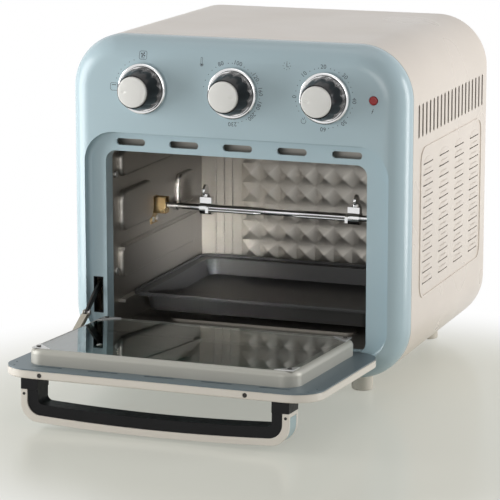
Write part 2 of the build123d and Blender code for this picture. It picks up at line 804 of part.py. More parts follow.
def case_screws():
    """Every screw of the cabinet and the chamber."""
    foot_length = BASE_TOP + SCREW_END - FOOT_SCREW_SEAT
    group = [screw_up(x, y, FOOT_SCREW_SEAT, foot_length) for x, y in foot_places()]
    group += [screw_up(x, y, BOTTOM, BASE_SCREW_L) for x, y in base_screw_places()]
    group += [screw_front(x, REAR_Y, z, REAR_SCREW_L) for x, z in rear_screw_places()]
    for y, z in bracket_screw_places():
        x = CH_X0 + BRACKET_T
        group.append(screw_left(x, y, z, BRACKET_SCREW_L, BRACKET_SCREW_HEAD_R, BRACKET_T))
    for y, z in wall_screw_places():
        group.append(screw_left(CH_X0, y, z, WALL_SCREW_L, SCREW_HEAD_R, SCREW_HEAD_T))
    return Compound(children=group)


def cord_gland():
    """Bush in the rear panel for the mains lead, held by a groove behind its barb."""
    x, y, z = GLAND_X, REAR_Y, GLAND_Z
    gland = rod_y(y, y + SHEET, x, z, GLAND_R + GLAND_FLANGE)
    gland += rod_y(y - GLAND_L, y, x, z, GLAND_R)
    gland += rod_y(y - GLAND_L, y - GLAND_BARB_GAP, x, z, GLAND_R + GLAND_BARB)
    return gland - rod_y(y - GLAND_L - PAST, y + SHEET + PAST, x, z, GLAND_BORE_R)


def terminal_block():
    """Three-way terminal block on the base plate."""
    x0 = TERMINAL_X
    y0 = BACK - TERMINAL_REAR
    z0 = BASE_TOP
    z1 = z0 + TERMINAL_H
    body = block(x0, x0 + TERMINAL_L, y0, y0 + TERMINAL_D, z0, z1)
    for i in (-1, 0, 1):
        x = x0 + TERMINAL_L / 2 + i * TERMINAL_PITCH
        body -= rod_z(z0 + TERMINAL_H / 2, z1 + PAST, x, y0 + TERMINAL_SCREW_IN, TERMINAL_SCREW_R)
        body -= rod_y(y0 - PAST, y0 + TERMINAL_D + PAST, x, z0 + TERMINAL_BORE_RISE, TERMINAL_BORE_R)
    return body


# Cooking chamber
def wall_fields(x_in, side):
    """Pressed fields on a side wall, standing into the chamber from the face at x_in."""
    x0, x1 = sorted((x_in, x_in + side * FIELD_DEPTH))
    shaped = []
    for cy, rise, d, h, r in FIELDS:
        field = slab_x(cy, BOTTOM + rise, d, h, r, x0, x1)
        face = field.faces().sort_by(Axis.X)[-1 if side > 0 else 0]
        shaped.append(fillet(face.edges(), FIELD_ROUND))
    return shaped


def side_wall(x_in, side):
    """A chamber side with its two rails: x_in is its inner face and side points into the chamber."""
    x0, x1 = sorted((x_in, x_in - side * SHEET))
    wall = block(x0, x1, THROAT_END, CH_BACK, CH_FLOOR, CH_TOP)
    wall += wall_fields(x_in, side)
    rail_x0, rail_x1 = sorted((x_in, x_in + side * RAIL_W))
    for z in (RAIL_Z, RAIL_Z + RAIL_STEP):
        wall += block(rail_x0, rail_x1, THROAT_END + RAIL_FRONT, CH_BACK - RAIL_REAR, z - RAIL_T, z)
    return wall


def chamber_left_wall():
    """Left side of the chamber, drilled for its screws and the spit's bracket."""
    wall = side_wall(CH_X0, 1)
    for y, z in bracket_screw_places() + wall_screw_places():
        wall -= rod_x(CH_X0 - SHEET - PAST, CH_X0 + FIELD_DEPTH + PAST, y, z, SCREW_R + SCREW_FIT)
    return wall


def wall_screw_places():
    """Screws in the front flange of the left wall, as (y, z)."""
    return [(THROAT_END + WALL_SCREW_IN, BOTTOM + rise) for rise in WALL_SCREW_RISES]


def chamber_right_wall():
    """Right side of the chamber, with the hole for the spit's drive."""
    hole = rod_x(CH_X1 - RAIL_W - PAST, CH_X1 + SHEET + PAST, SPIT_Y, SPIT_Z, SPIT_DRIVE_R + DRIVE_ROOM)
    return side_wall(CH_X1, -1) - hole


def chamber_floor():
    """Floor and back of the chamber, folded from one sheet."""
    s = SHEET
    floor = block(CH_X0 - s, CH_X1 + s, THROAT_END, CH_BACK + s, CH_FLOOR - s, CH_FLOOR)
    for i in range(FLOOR_RIBS):
        y = FLOOR_RIB_Y0 + i * FLOOR_RIB_PITCH
        r = round_end(FLOOR_RIB_W)
        floor += slab_z(MOUTH_SHIFT, y, FLOOR_RIB_L, FLOOR_RIB_W, r, CH_FLOOR, CH_FLOOR + FLOOR_RIB_H)
    floor += block(CH_X0 - s, CH_X1 + s, CH_BACK, CH_BACK + s, CH_FLOOR - s, CH_TOP)
    h = CH_TOP - CH_FLOOR - 2 * BACK_RIB_MARGIN
    for i in range(BACK_RIBS):
        x = CH_X0 + BACK_RIB_IN + i * BACK_RIB_PITCH
        mid_z = (CH_FLOOR + CH_TOP) / 2
        floor += slab_y(x, mid_z, BACK_RIB_W, h, round_end(BACK_RIB_W), CH_BACK - BACK_RIB_T, CH_BACK)
    return floor


def chamber_roof():
    """Roof sheet with the drum that the fan turns in and the front apron."""
    s = SHEET
    roof = block(CH_X0 - s, CH_X1 + s, THROAT_END, CH_BACK + s, CH_TOP, CH_TOP + s)
    roof += block(CH_X0, CH_X1, THROAT_END, THROAT_END + s, MOUTH_Z1, CH_TOP)
    roof += rod_z(CH_TOP, DRUM_TOP, FAN_X, FAN_Y, FAN_HOLE_R + s)
    roof -= rod_z(CH_TOP - PAST, DRUM_TOP - s, FAN_X, FAN_Y, FAN_HOLE_R)
    roof -= rod_z(DRUM_TOP - 2 * s, DRUM_TOP + PAST, FAN_X, FAN_Y, FAN_SHAFT_R + FAN_SHAFT_ROOM)
    for x, y in guard_screw_places():
        roof -= rod_z(CH_TOP - PAST, CH_TOP + s + PAST, x, y, SCREW_R + SCREW_FIT)
    for x, y in heater_leg_places():
        roof -= rod_z(CH_TOP, DRUM_TOP + PAST, x, y, HEATER_TUBE_R + FIT)
    return roof


def guard_screw_places():
    """Screw places of the guard, one on each side of the fan, as (x, y)."""
    return [(FAN_X + side * (GUARD_R - GUARD_SCREW_IN), FAN_Y) for side in (-1, 1)]


def fan_guard():
    """Pressed guard below heater and fan, with rings of air holes."""
    z0 = CH_TOP - GUARD_DROP
    g = GUARD_SHEET
    r = GUARD_R - GUARD_RIM
    dome = rod_z(z0, CH_TOP, FAN_X, FAN_Y, r)
    dome = fillet(dome.edges().sort_by(Axis.Z)[0], GUARD_ROUND)
    hollow = rod_z(z0 + g, CH_TOP + PAST, FAN_X, FAN_Y, r - g)
    hollow = fillet(hollow.edges().sort_by(Axis.Z)[0], GUARD_ROUND - g)
    guard = dome + rod_z(CH_TOP - g, CH_TOP, FAN_X, FAN_Y, GUARD_R) - hollow
    holes = []
    for ring, count in GUARD_RINGS:
        for i in range(count):
            turn = 2 * math.pi * i / count
            x = FAN_X + ring * math.cos(turn)
            y = FAN_Y + ring * math.sin(turn)
            holes.append(rod_z(z0 - PAST, z0 + g + PAST, x, y, GUARD_HOLE_R))
    guard -= holes
    for x, y in guard_screw_places():
        guard -= rod_z(CH_TOP - g - PAST, CH_TOP + PAST, x, y, SCREW_R + SCREW_FIT)
    return guard


def heater_leg_places():
    """Middles of the heater's two legs, as (x, y)."""
    y = FAN_Y - math.sqrt(HEATER_R ** 2 - HEATER_LEAD ** 2)
    return [(FAN_X + side * HEATER_LEAD, y) for side in (-1, 1)]


def heater_coil():
    """Round tube heater with two legs up through the drum's top."""
    z = CH_TOP - HEATER_DROP
    gap = math.degrees(math.asin(HEATER_LEAD / HEATER_R))
    path = Pos(FAN_X, FAN_Y, z) * CenterArc((0, 0), HEATER_R, -90 + gap, 360 - 2 * gap)
    tube = sweep(Plane(origin=path @ 0, z_dir=path % 0) * Circle(HEATER_TUBE_R), path=path)
    for x, y in heater_leg_places():
        tube += Pos(x, y, z) * Sphere(HEATER_TUBE_R)
        tube += rod_z(z, z + HEATER_LEG_H, x, y, HEATER_TUBE_R)
    return tube


def fan_impeller():
    """Disc with slanted blades below it and a hub on the shaft."""
    z0 = CH_TOP + FAN_LIFT
    z1 = z0 + FAN_DEPTH
    wheel = rod_z(z1 - FAN_BLADE_T, z1, FAN_X, FAN_Y, FAN_DISC_R)
    wheel += rod_z(z0 + FAN_HUB_STEP, z1 + FAN_HUB_STEP, FAN_X, FAN_Y, FAN_HUB_R)
    for i in range(FAN_BLADES):
        blade = Rot(FAN_BLADE_PITCH, 0, 0) * Box(FAN_R - FAN_BLADE_IN, FAN_BLADE_T, FAN_BLADE_H)
        blade = Pos((FAN_R + FAN_BLADE_IN) / 2, 0, 0) * blade
        wheel += Pos(FAN_X, FAN_Y, (z0 + z1) / 2) * Rot(0, 0, i * 360 / FAN_BLADES) * blade
    return wheel - rod_z(z0, z1 + 2 * FAN_HUB_STEP, FAN_X, FAN_Y, FAN_SHAFT_R)


def fan_shaft():
    """Shaft from the impeller's hub into the motor."""
    z0 = CH_TOP + FAN_LIFT + FAN_HUB_STEP
    return rod_z(z0, DRUM_TOP + MOTOR_H - MOTOR_SHAFT_END, FAN_X, FAN_Y, FAN_SHAFT_R)


def fan_motor():
    """Fan motor with the bridge and the two legs it stands on."""
    z0 = DRUM_TOP + MOTOR_LIFT
    half = MOTOR_LEG_W / 2
    y0 = FAN_Y - half
    y1 = FAN_Y + half
    bridge_z = z0 + MOTOR_LIFT
    bridge_x = MOTOR_LEG_X + MOTOR_LEG_T
    can = fillet(rod_z(z0, z0 + MOTOR_H, FAN_X, FAN_Y, MOTOR_R).edges(), MOTOR_ROUND)
    can += block(FAN_X - bridge_x, FAN_X + bridge_x, y0, y1, bridge_z, bridge_z + MOTOR_LEG_T)
    for side in (-1, 1):
        x = FAN_X + side * MOTOR_LEG_X
        can += block(x - MOTOR_LEG_T / 2, x + MOTOR_LEG_T / 2, y0, y1, DRUM_TOP, bridge_z + MOTOR_LEG_T / 2)
        lo, hi = sorted((x, x + side * MOTOR_TOE_L))
        can += block(lo, hi, y0, y1, DRUM_TOP, DRUM_TOP + MOTOR_TOE_T)
    return can - rod_z(z0 - PAST, DRUM_TOP + MOTOR_H - PAST, FAN_X, FAN_Y, FAN_SHAFT_R + SHAFT_RUN)


# Rotisserie
def bracket_screw_places():
    """Screws under the U of the spit's bracket, as (y, z)."""
    return [(SPIT_Y + side * BRACKET_SCREW_SPREAD, SPIT_Z - BRACKET_SCREW_DROP) for side in (-1, 1)]


def spit_bracket():
    """U bracket on the left wall that the spit's plain end lies in."""
    x0 = CH_X0
    x1 = x0 + BRACKET_REACH
    y, z, t = SPIT_Y, SPIT_Z, BRACKET_T
    half = BRACKET_HALF
    gap = BRACKET_GAP / 2
    part = block(x0, x0 + t, y - half, y + half, z - BRACKET_BELOW, z + half)
    for sy, sz in bracket_screw_places():
        part -= rod_x(x0 - PAST, x0 + t + PAST, sy, sz, SCREW_R + SCREW_FIT)
    part += block(x0, x1, y - gap - t, y - gap, z - half, z + half)
    part += block(x0, x1, y + gap, y + gap + t, z - half, z + half)
    return part + block(x0, x1, y - gap - t, y + gap + t, z - half, z - SPIT_R - PIN_FIT)


def spit_rod():
    """Round rod with a collar at its plain end and a square at its driven end."""
    y, z, h = SPIT_Y, SPIT_Z, SPIT_SQUARE_HALF
    x0 = CH_X0 + SPIT_LEFT_GAP
    x1 = CH_X1 - SPIT_RIGHT_GAP
    collar = x0 + SPIT_COLLAR_IN
    rod = rod_x(x0, x1, y, z, SPIT_R)
    rod += rod_x(collar, collar + SPIT_COLLAR_L, y, z, SPIT_R + SPIT_COLLAR)
    rod += block(x1 - SPIT_SQUARE_IN, x1 + SPIT_SQUARE_OUT, y - h, y + h, z - h, z + h)
    return chamfer(rod.faces().sort_by(Axis.X)[0].edges(), SPIT_POINT)


def drive_socket():
    """Square socket on the gear motor's shaft, which the spit's square end sits in."""
    y, z = SPIT_Y, SPIT_Z
    x0 = CH_X1 - SOCKET_IN
    hole = SPIT_SQUARE_HALF + SQUARE_FIT
    part = rod_x(x0, CH_X1 + SHEET + SOCKET_OUT, y, z, SPIT_DRIVE_R)
    return part - block(x0 - PAST, CH_X1 + SOCKET_DEEP, y - hole, y + hole, z - hole, z + hole)


def spit_fork(x_hub, side):
    """A two-tine fork with its clamp hub; side is the way the tines point."""
    y, z = SPIT_Y, SPIT_Z
    x0, x1 = sorted((x_hub, x_hub - side * FORK_HUB_L))
    fork = rod_x(x0, x1, y, z, FORK_HUB_R)
    fork += block(x0, x1, y - FORK_BOSS_W / 2, y + FORK_BOSS_W / 2, z + SPIT_R, z + FORK_BOSS_H)
    bar_x0, bar_x1 = sorted((x_hub, x_hub - side * FORK_BAR_T))
    reach = FORK_SPREAD + FORK_BAR_END
    fork += block(bar_x0, bar_x1, y - reach, y + reach, z - FORK_BAR_H / 2, z + FORK_BAR_H / 2)
    for dy in (-FORK_SPREAD, FORK_SPREAD):
        start, end = sorted((x_hub - side, x_hub + side * FORK_TINE_L))
        fork += rod_x(start, end, y + dy, z, FORK_TINE_R)
        tip_x = x_hub + side * (FORK_TINE_L + FORK_TIP_L / 2)
        fork += Pos(tip_x, y + dy, z) * Rot(0, side * 90, 0) * Cone(FORK_TINE_R, FORK_TIP_R, FORK_TIP_L)
    fork -= rod_x(x0 - PAST, x1 + PAST, y, z, SPIT_R + PIN_FIT)
    return fork - rod_z(z, z + 2 * FORK_BOSS_H, x_hub - side * THUMB_IN, y, THUMB_BORE_R)


def fork_thumbscrew(x_hub, side):
    """Wing screw that clamps a fork on the spit."""
    x = x_hub - side * THUMB_IN
    z = SPIT_Z + FORK_BOSS_H
    screw = rod_z(SPIT_Z + SPIT_R + THUMB_TIP_GAP, z + THUMB_COLLAR_H, x, SPIT_Y, THUMB_R)
    screw += Pos(x, SPIT_Y, z + THUMB_WING_R) * Rot(0, 90, 0) * Cylinder(THUMB_WING_R, THUMB_WING_T)
    return screw + rod_z(z, z + THUMB_COLLAR_H, x, SPIT_Y, THUMB_COLLAR_R)


def gear_motor():
    """Slow motor of the spit on two posts, with a bore for the socket."""
    y, z = SPIT_Y, SPIT_Z
    wall = CH_X1 + SHEET
    x0 = wall + GEARMOTOR_GAP
    can = fillet(rod_x(x0, x0 + GEARMOTOR_T, y, z, GEARMOTOR_R).edges(), GEARMOTOR_ROUND)
    for side in (-1, 1):
        ear_y = y + side * GEARMOTOR_EAR_Y
        ear = slab_x(ear_y, z, GEARMOTOR_EAR_W, GEARMOTOR_EAR_H, GEARMOTOR_EAR_R, x0, x0 + GEARMOTOR_EAR_T)
        can += ear
        can += rod_x(wall, x0, ear_y, z, GEARMOTOR_POST_R)
        can -= rod_x(wall - PAST, x0 + GEARMOTOR_EAR_T + PAST, ear_y, z, SCREW_R + SCREW_FIT)
    return can - rod_x(x0 - PAST, wall + SOCKET_OUT + PAST / 2, y, z, SPIT_DRIVE_R + SHAFT_RUN)


# Baking tray
def baking_tray():
    """Shallow pan with sloped sides, a flat rim on the rails and a lip round it."""
    t = TRAY_SHEET
    x0 = CH_X0 + TRAY_SIDE_GAP
    x1 = CH_X1 - TRAY_SIDE_GAP
    y1 = CH_BACK - TRAY_BACK_GAP
    place = Pos((x0 + x1) / 2, (TRAY_FRONT_Y + y1) / 2)
    w = x1 - x0
    d = y1 - TRAY_FRONT_Y
    z1 = RAIL_Z + t
    z0 = z1 - TRAY_DEEP

    def level(z, inset, r):
        return Plane.XY.offset(z) * place * RectangleRounded(w - 2 * inset, d - 2 * inset, r)

    foot = TRAY_RIM + TRAY_SLOPE
    pan = loft([level(z0, foot, TRAY_R - TRAY_SLOPE), level(z1, TRAY_RIM, TRAY_R)], ruled=True)
    inner_low = level(z0 + t, foot + t, TRAY_R - TRAY_SLOPE - t)
    inner_high = level(z1 + OVERLAP, TRAY_RIM + t, TRAY_R - t)
    tray = extrude(level(RAIL_Z, 0, TRAY_R), amount=t) + pan
    lip = extrude(level(z1, 0, TRAY_R), amount=TRAY_LIP_H)
    lip -= extrude(level(z1 - PAST, TRAY_LIP_W, TRAY_R - TRAY_LIP_W), amount=TRAY_LIP_H + 2 * PAST)
    return tray + lip - loft([inner_low, inner_high], ruled=True)


# Controls
def unit_plate(x):
    """Mounting plate of a control on the back of the bezel's face."""
    w = UNIT_SIZE + 2 * UNIT_PLATE_OUT
    return slab_y(x, KNOB_Z, w, UNIT_SIZE, UNIT_R, BEZEL_WALL, BEZEL_WALL + UNIT_PLATE_T)


def unit_bore(x):
    """Hole of a control's shaft."""
    return rod_y(BEZEL_WALL - PAST, BEZEL_WALL + SHAFT_IN_UNIT + PAST, x, KNOB_Z, SHAFT_R + SHAFT_RUN)


def unit_span():
    """Y from and to of a control's body."""
    return BEZEL_WALL + UNIT_PLATE_T, BEZEL_WALL + UNIT_D


def timer_unit(x):
    """Round clockwork with a bell behind it."""
    y0, y1 = unit_span()
    body = rod_y(y0, y1, x, KNOB_Z, UNIT_SIZE / 2)
    body += rod_y(y1, y1 + TIMER_BELL_D, x, KNOB_Z, UNIT_SIZE / 2 - TIMER_BELL_IN)
    return unit_plate(x) + body - unit_bore(x)


def thermostat_unit(x):
    """Square thermostat with the lug of its feeler tube below."""
    y0, y1 = unit_span()
    size = THERMOSTAT_SIZE
    half = THERMOSTAT_LEAD_W / 2
    low = KNOB_Z - UNIT_SIZE / 2 - UNIT_PLATE_OUT
    body = slab_y(x, KNOB_Z, size, size, UNIT_R, y0, y1)
    body += block(x - half, x + half, y0 + UNIT_R, y1 - UNIT_R, low, KNOB_Z - size / 2 + PAST)
    return unit_plate(x) + body - unit_bore(x)


def switch_unit(x):
    """Square selector switch with a row of flat tags."""
    y0, y1 = unit_span()
    body = slab_y(x, KNOB_Z, SWITCH_SIZE, SWITCH_SIZE, UNIT_R, y0, y1)
    for i in range(SWITCH_TAGS):
        tx = x + (i - (SWITCH_TAGS - 1) / 2) * SWITCH_TAG_PITCH
        half_t = SWITCH_TAG_T / 2
        half_w = SWITCH_TAG_W / 2
        body += block(tx - half_t, tx + half_t, y1, y1 + SWITCH_TAG_L, KNOB_Z - half_w, KNOB_Z + half_w)
    return unit_plate(x) + body - unit_bore(x)


def knob_shaft(x):
    """D-cut shaft from the unit into the knob."""
    shaft = rod_y(SHAFT_FRONT_Y, BEZEL_WALL + SHAFT_IN_UNIT, x, KNOB_Z, SHAFT_R)
    r = SHAFT_R + PAST
    flat = block(x - r, x + r, SHAFT_FRONT_Y - PAST, -KNOB_FACE_GAP / 2, KNOB_Z + SHAFT_FLAT, KNOB_Z + r)
    return shaft - flat


def shaft_socket(x):
    """The hole for a knob shaft, its flat at the same height as the shaft's."""
    y0 = SHAFT_FRONT_Y - SHAFT_END_GAP
    r = SHAFT_R + PAST
    flat_z = KNOB_Z + SHAFT_FLAT + SHAFT_FIT
    hole = rod_y(y0, BEZEL_WALL, x, KNOB_Z, SHAFT_R + SHAFT_FIT)
    return hole - block(x - r, x + r, y0 - PAST, BEZEL_WALL + PAST, flat_z, KNOB_Z + r)


def knob_skirt(x):
    """Bright ring behind the grip, dished round it."""
    y1 = -KNOB_FACE_GAP
    y0 = y1 - SKIRT_T
    skirt = fillet(front_edges(rod_y(y0, y1, x, KNOB_Z, SKIRT_R)), SKIRT_ROUND)
    skirt -= rod_y(y0 - PAST, y0 + SKIRT_DISH, x, KNOB_Z, GRIP_R + SKIRT_GRIP_GAP)
    return skirt - rod_y(y0 - PAST, y1 + PAST, x, KNOB_Z, SHAFT_R + SKIRT_GRIP_GAP)


def fluted(radius):
    """Round outline with scallops, as a sketch."""
    outline = Circle(radius)
    size = radius / GRIP_R
    for i in range(FLUTES):
        turn = 2 * math.pi * i / FLUTES
        reach = radius + FLUTE_OUT * size
        outline -= Pos(reach * math.cos(turn), reach * math.sin(turn)) * Circle(FLUTE_R * size)
    return outline


def knob_grip(x):
    """Tapered fluted grip with a seat for its cap."""
    wide = Plane.XZ.offset(-GRIP_BACK_Y) * Pos(x, KNOB_Z) * fluted(GRIP_R)
    narrow = Plane.XZ.offset(-GRIP_FRONT_Y) * Pos(x, KNOB_Z) * fluted(GRIP_TOP_R)
    grip = loft([wide, narrow], ruled=True)
    grip -= rod_y(GRIP_FRONT_Y - PAST, GRIP_FRONT_Y + CAP_SINK, x, KNOB_Z, CAP_R + CAP_FIT)
    return grip - shaft_socket(x)


def knob_cap(x, mark_angle):
    """Pale disc on the grip with a small dimple that shows the setting."""
    front = GRIP_FRONT_Y - CAP_T
    cap = fillet(front_edges(rod_y(front, GRIP_FRONT_Y + CAP_SINK, x, KNOB_Z, CAP_R)), CAP_ROUND)
    turn = math.radians(mark_angle)
    mark_x = x + CAP_MARK_OUT * math.cos(turn)
    mark_z = KNOB_Z + CAP_MARK_OUT * math.sin(turn)
    return cap - rod_y(front - PAST, front + CAP_MARK_DEEP, mark_x, mark_z, CAP_MARK_R)


def indicator_lens():
    """Hollow lens pushed in from behind up to its flange."""
    w = BEZEL_WALL
    lens = fillet(front_edges(rod_y(-LENS_PROUD, w + LENS_END, LAMP_X, KNOB_Z, LAMP_R)), LENS_ROUND)
    lens += rod_y(w, w + LENS_FLANGE_T, LAMP_X, KNOB_Z, LAMP_R + LENS_FLANGE)
    return lens - rod_y(LENS_WALL, w + LENS_END + PAST, LAMP_X, KNOB_Z, LAMP_R - LENS_WALL)


def indicator_lamp():
    """Small bulb inside the lens."""
    r = LAMP_R - LENS_WALL - BULB_WALL_GAP
    return rod_y(BULB_Y, BULB_Y + BULB_L, LAMP_X, KNOB_Z, r) + Pos(LAMP_X, BULB_Y, KNOB_Z) * Sphere(r)


# Door, drawn level: u is the way out from the hinge line, h the height over it
def hang(shape):
    """Swing a level door piece up to where the stay holds the open door."""
    return Pos(0, HINGE_Y, HINGE_Z) * Rot(-OPEN_TILT, 0, 0) * Pos(0, -HINGE_Y, -HINGE_Z) * shape


def leaf(x0, x1, u0, u1, r, h0, h1):
    """A round-cornered door layer between two heights."""
    return slab_z((x0 + x1) / 2, HINGE_Y - (u0 + u1) / 2, x1 - x0, u1 - u0, r, HINGE_Z + h0, HINGE_Z + h1)


def door_hole(x, u, h0, h1, r):
    """A round hole through door layers between two heights."""
    return rod_z(HINGE_Z + h0, HINGE_Z + h1, x, HINGE_Y - u, r)


def door_outline(inset, h0, h1):
    """A door layer of the rim's outline, smaller by inset."""
    half = DOOR_HALF - inset
    return leaf(-half, half, DOOR_U0 + inset, DOOR_U1 - inset, DOOR_R - inset, h0, h1)


def window(inset, r, h0, h1):
    """A door layer over the window; inset is taken from the raised frame's outline."""
    return leaf(FRAME_X0 + inset, FRAME_X1 - inset, FRAME_U0 + inset, FRAME_U1 - inset, r, h0, h1)


def cut_corner_pane(inset, cut, h0, h1):
    """A pane with its corners cut at 45 degrees."""
    a = (FRAME_X1 - FRAME_X0) / 2 - inset
    b = (FRAME_U1 - FRAME_U0) / 2 - inset
    outline = Polyline(
        (-a + cut, -b), (a - cut, -b), (a, -b + cut), (a, b - cut),
        (a - cut, b), (-a + cut, b), (-a, b - cut), (-a, -b + cut), close=True,
    )
    face = Plane.XY.offset(HINGE_Z + h0) * Pos(FRAME_MID_X, HINGE_Y - FRAME_MID_U) * make_face(outline)
    return extrude(face, amount=h1 - h0)


def rim_screw_xs():
    """Screws in the rim's outer edge, along X."""
    return [-DOOR_HALF + RIM_SCREW_LEFT_IN, DOOR_HALF - RIM_SCREW_RIGHT_IN]


def door_shell():
    """Moulded rim of the door with its web, hinge lugs and bosses."""
    shell = door_outline(0, DOOR_OUT, SHELL_TOP)
    shell = fillet(shell.faces().sort_by(Axis.Z)[0].edges(), DOOR_ROUND)
    groove = door_outline(0, SHELL_TOP - GROOVE, SHELL_TOP + PAST)
    shell -= groove - door_outline(GROOVE_IN, SHELL_TOP - PAST, SHELL_TOP + 2 * PAST)
    shell -= door_outline(RIM_WALL, WEB_TOP, SHELL_TOP + PAST)
    shell -= door_outline(RIM_WALL + FACE_LEDGE, DOOR_OUT - PAST, DOOR_OUT + FACE_PANEL_T)
    shell -= window(WINDOW_IN, WINDOW_R, 0, DOOR_IN)
    for side in (-1, 1):
        shell += hinge_lug(side)
        shell += handle_pillar(side)
        for u in handle_screw_us():
            shell -= door_hole(side * HANDLE_X, u, 0, DOOR_IN, SCREW_R + SCREW_FIT)
    y = HINGE_Y - DOOR_U1
    z = HINGE_Z + (DOOR_OUT + SHELL_TOP) / 2
    for x in rim_screw_xs():
        shell -= rod_y(y - PAST, y + RIM_SCREW_SINK + RIM_SCREW_L + FIT, x, z, SCREW_R + SCREW_FIT)
        shell -= rod_y(y - PAST, y + RIM_SCREW_SINK, x, z, RIM_SCREW_HEAD_R + SCREW_FIT)
    return hang(shell)


def hinge_lug(side):
    """Lug of the shell that turns on a hinge pin, with its web."""
    x0 = side * LUG_X - LUG_W / 2
    x1 = side * LUG_X + LUG_W / 2
    y, z = HINGE_Y, HINGE_Z
    low = z - EAR_GAP
    web_y = y - DOOR_U0 - LUG_WEB_U
    lug = rod_x(x0, x1, y, z, LUG_R)
    lug += block(x0, x1, web_y, y, low, z + LUG_R - SCREW_FIT)
    lug += block(x0, x1, web_y, y - DOOR_U0 + OVERLAP, low, z + DOOR_OUT + LUG_WEB_H)
    return lug - rod_x(x0 - PAST, x1 + PAST, y, z, PIN_R + PIN_FIT)


def handle_pillar(side):
    """Screw boss inside the shell over a handle leg."""
    x, u, p = side * HANDLE_X, HANDLE_MID_U, PILLAR_HALF
    return leaf(x - p, x + p, u - p, u + p, PILLAR_R, DOOR_OUT + FACE_PANEL_T, SHELL_TOP)


def handle_screw_us():
    """Screws of a handle leg, along u."""
    return [HANDLE_MID_U - HANDLE_SCREW_SPREAD, HANDLE_MID_U + HANDLE_SCREW_SPREAD]


def door_face():
    """Coloured outer face of the door, round the window and beside the handle's legs."""
    h1 = DOOR_OUT + FACE_PANEL_T
    panel = door_outline(RIM_WALL + FACE_LEDGE + FACE_FIT, DOOR_OUT, h1)
    panel -= window(WINDOW_IN + FACE_WINDOW_IN, WINDOW_R, 0, DOOR_IN)
    for side in (-1, 1):
        x = side * HANDLE_X
        half = HANDLE_LEG_W / 2 + FACE_FIT
        u0 = HANDLE_U0 - FACE_FIT
        panel -= leaf(x - half, x + half, u0, DOOR_U1 + PAST, PAST, DOOR_OUT - PAST, h1 + PAST)
    return hang(panel)


def door_plate():
    """Flat plate on the inside of the door, with air slots, dots and the stay's notch."""
    h0 = SHELL_TOP - PAST
    h1 = DOOR_IN + PAST
    plate = door_outline(PLATE_INSET, SHELL_TOP, DOOR_IN)
    plate -= window(WINDOW_IN - PLATE_WINDOW_OUT, WINDOW_R, h0, h1)
    slot_u = DOOR_U1 - PLATE_SLOT_IN
    half = PLATE_SLOT_W / 2
    for x in slot_xs():
        x0 = x - SLOT_L / 2
        plate -= leaf(x0, x0 + SLOT_L, slot_u - half, slot_u + half, round_end(PLATE_SLOT_W), h0, h1)
    for side in (-1, 1):
        for dot_in in PLATE_DOT_INS:
            x = side * (DOOR_HALF - PLATE_DOT_EDGE - (PLATE_DOT_INS[0] - dot_in) * PLATE_DOT_LEAN)
            plate -= door_hole(x, DOOR_U1 - dot_in, h0, h1, PLATE_DOT_R)
    n = PLATE_NOTCH_L / 2
    notch_u = -STRUT_FOOT_Y - STRUT_FOOT_OUT / 2
    plate -= leaf(STAY_X - n, STAY_X + n, notch_u - 2 * n, notch_u, round_end(2 * n), h0, h1)
    return hang(plate)


def raised_frame():
    """Raised frame round the inner pane, with the pane's ledge."""
    frame = window(0, FRAME_R, DOOR_IN, FRAME_TOP)
    frame = fillet(frame.faces().sort_by(Axis.Z)[-1].edges(), FRAME_ROUND)
    frame -= window(FRAME_WALL, FRAME_R - FRAME_WALL, DOOR_IN - PAST, FRAME_TOP - FRAME_TOP_T)
    frame -= window(FRAME_LIP + FRAME_LEDGE, WINDOW_R, DOOR_IN, FRAME_TOP + PAST)
    frame -= cut_corner_pane(FRAME_LIP, GLASS_CUT, PANE_SEAT, FRAME_TOP + PAST)
    for x, u in clip_screw_places():
        frame -= door_hole(x, u, FRAME_TOP - FRAME_TOP_T - PAST, FRAME_TOP + PAST, CLIP_SCREW_R + SCREW_FIT)
    return hang(frame)


def inner_glass():
    """Inner pane on the raised frame's ledge."""
    return hang(cut_corner_pane(FRAME_LIP + FIT, GLASS_CUT, PANE_SEAT, PANE_SEAT + INNER_GLASS_T))


def outer_glass():
    """Outer pane on the shell's web."""
    lap = OUTER_GLASS_LAP
    return hang(window(WINDOW_IN - lap, WINDOW_R + lap, WEB_TOP, WEB_TOP + GLASS_T))


def clip_screw_places():
    """Screws of the corner clips, as (x, u)."""
    a = FRAME_LIP + CLIP_SCREW_IN
    return [(x, u) for x in (FRAME_X0 + a, FRAME_X1 - a) for u in (FRAME_U0 + a, FRAME_U1 - a)]


def corner_clips():
    """Thin clips over the cut corners that hold the inner pane down."""
    group = []
    size = FRAME_LIP + GLASS_CUT + CLIP_PAST - CLIP_EDGE
    for x, u in clip_screw_places():
        sx = 1 if x > FRAME_MID_X else -1
        su = 1 if u > FRAME_MID_U else -1
        cx = FRAME_MID_X + sx * ((FRAME_X1 - FRAME_X0) / 2 - CLIP_EDGE)
        cu = FRAME_MID_U + su * ((FRAME_U1 - FRAME_U0) / 2 - CLIP_EDGE)
        outline = Polyline((0, 0), (-sx * size, 0), (0, su * size), close=True)
        face = Plane.XY.offset(HINGE_Z + FRAME_TOP) * Pos(cx, HINGE_Y - cu) * make_face(outline)
        clip = extrude(face, amount=CLIP_T, dir=(0, 0, 1))
        clip -= door_hole(x, u, FRAME_TOP - PAST, FRAME_TOP + CLIP_T + PAST, CLIP_SCREW_R + SCREW_FIT)
        group.append(clip)
    return hang(Compound(children=group))


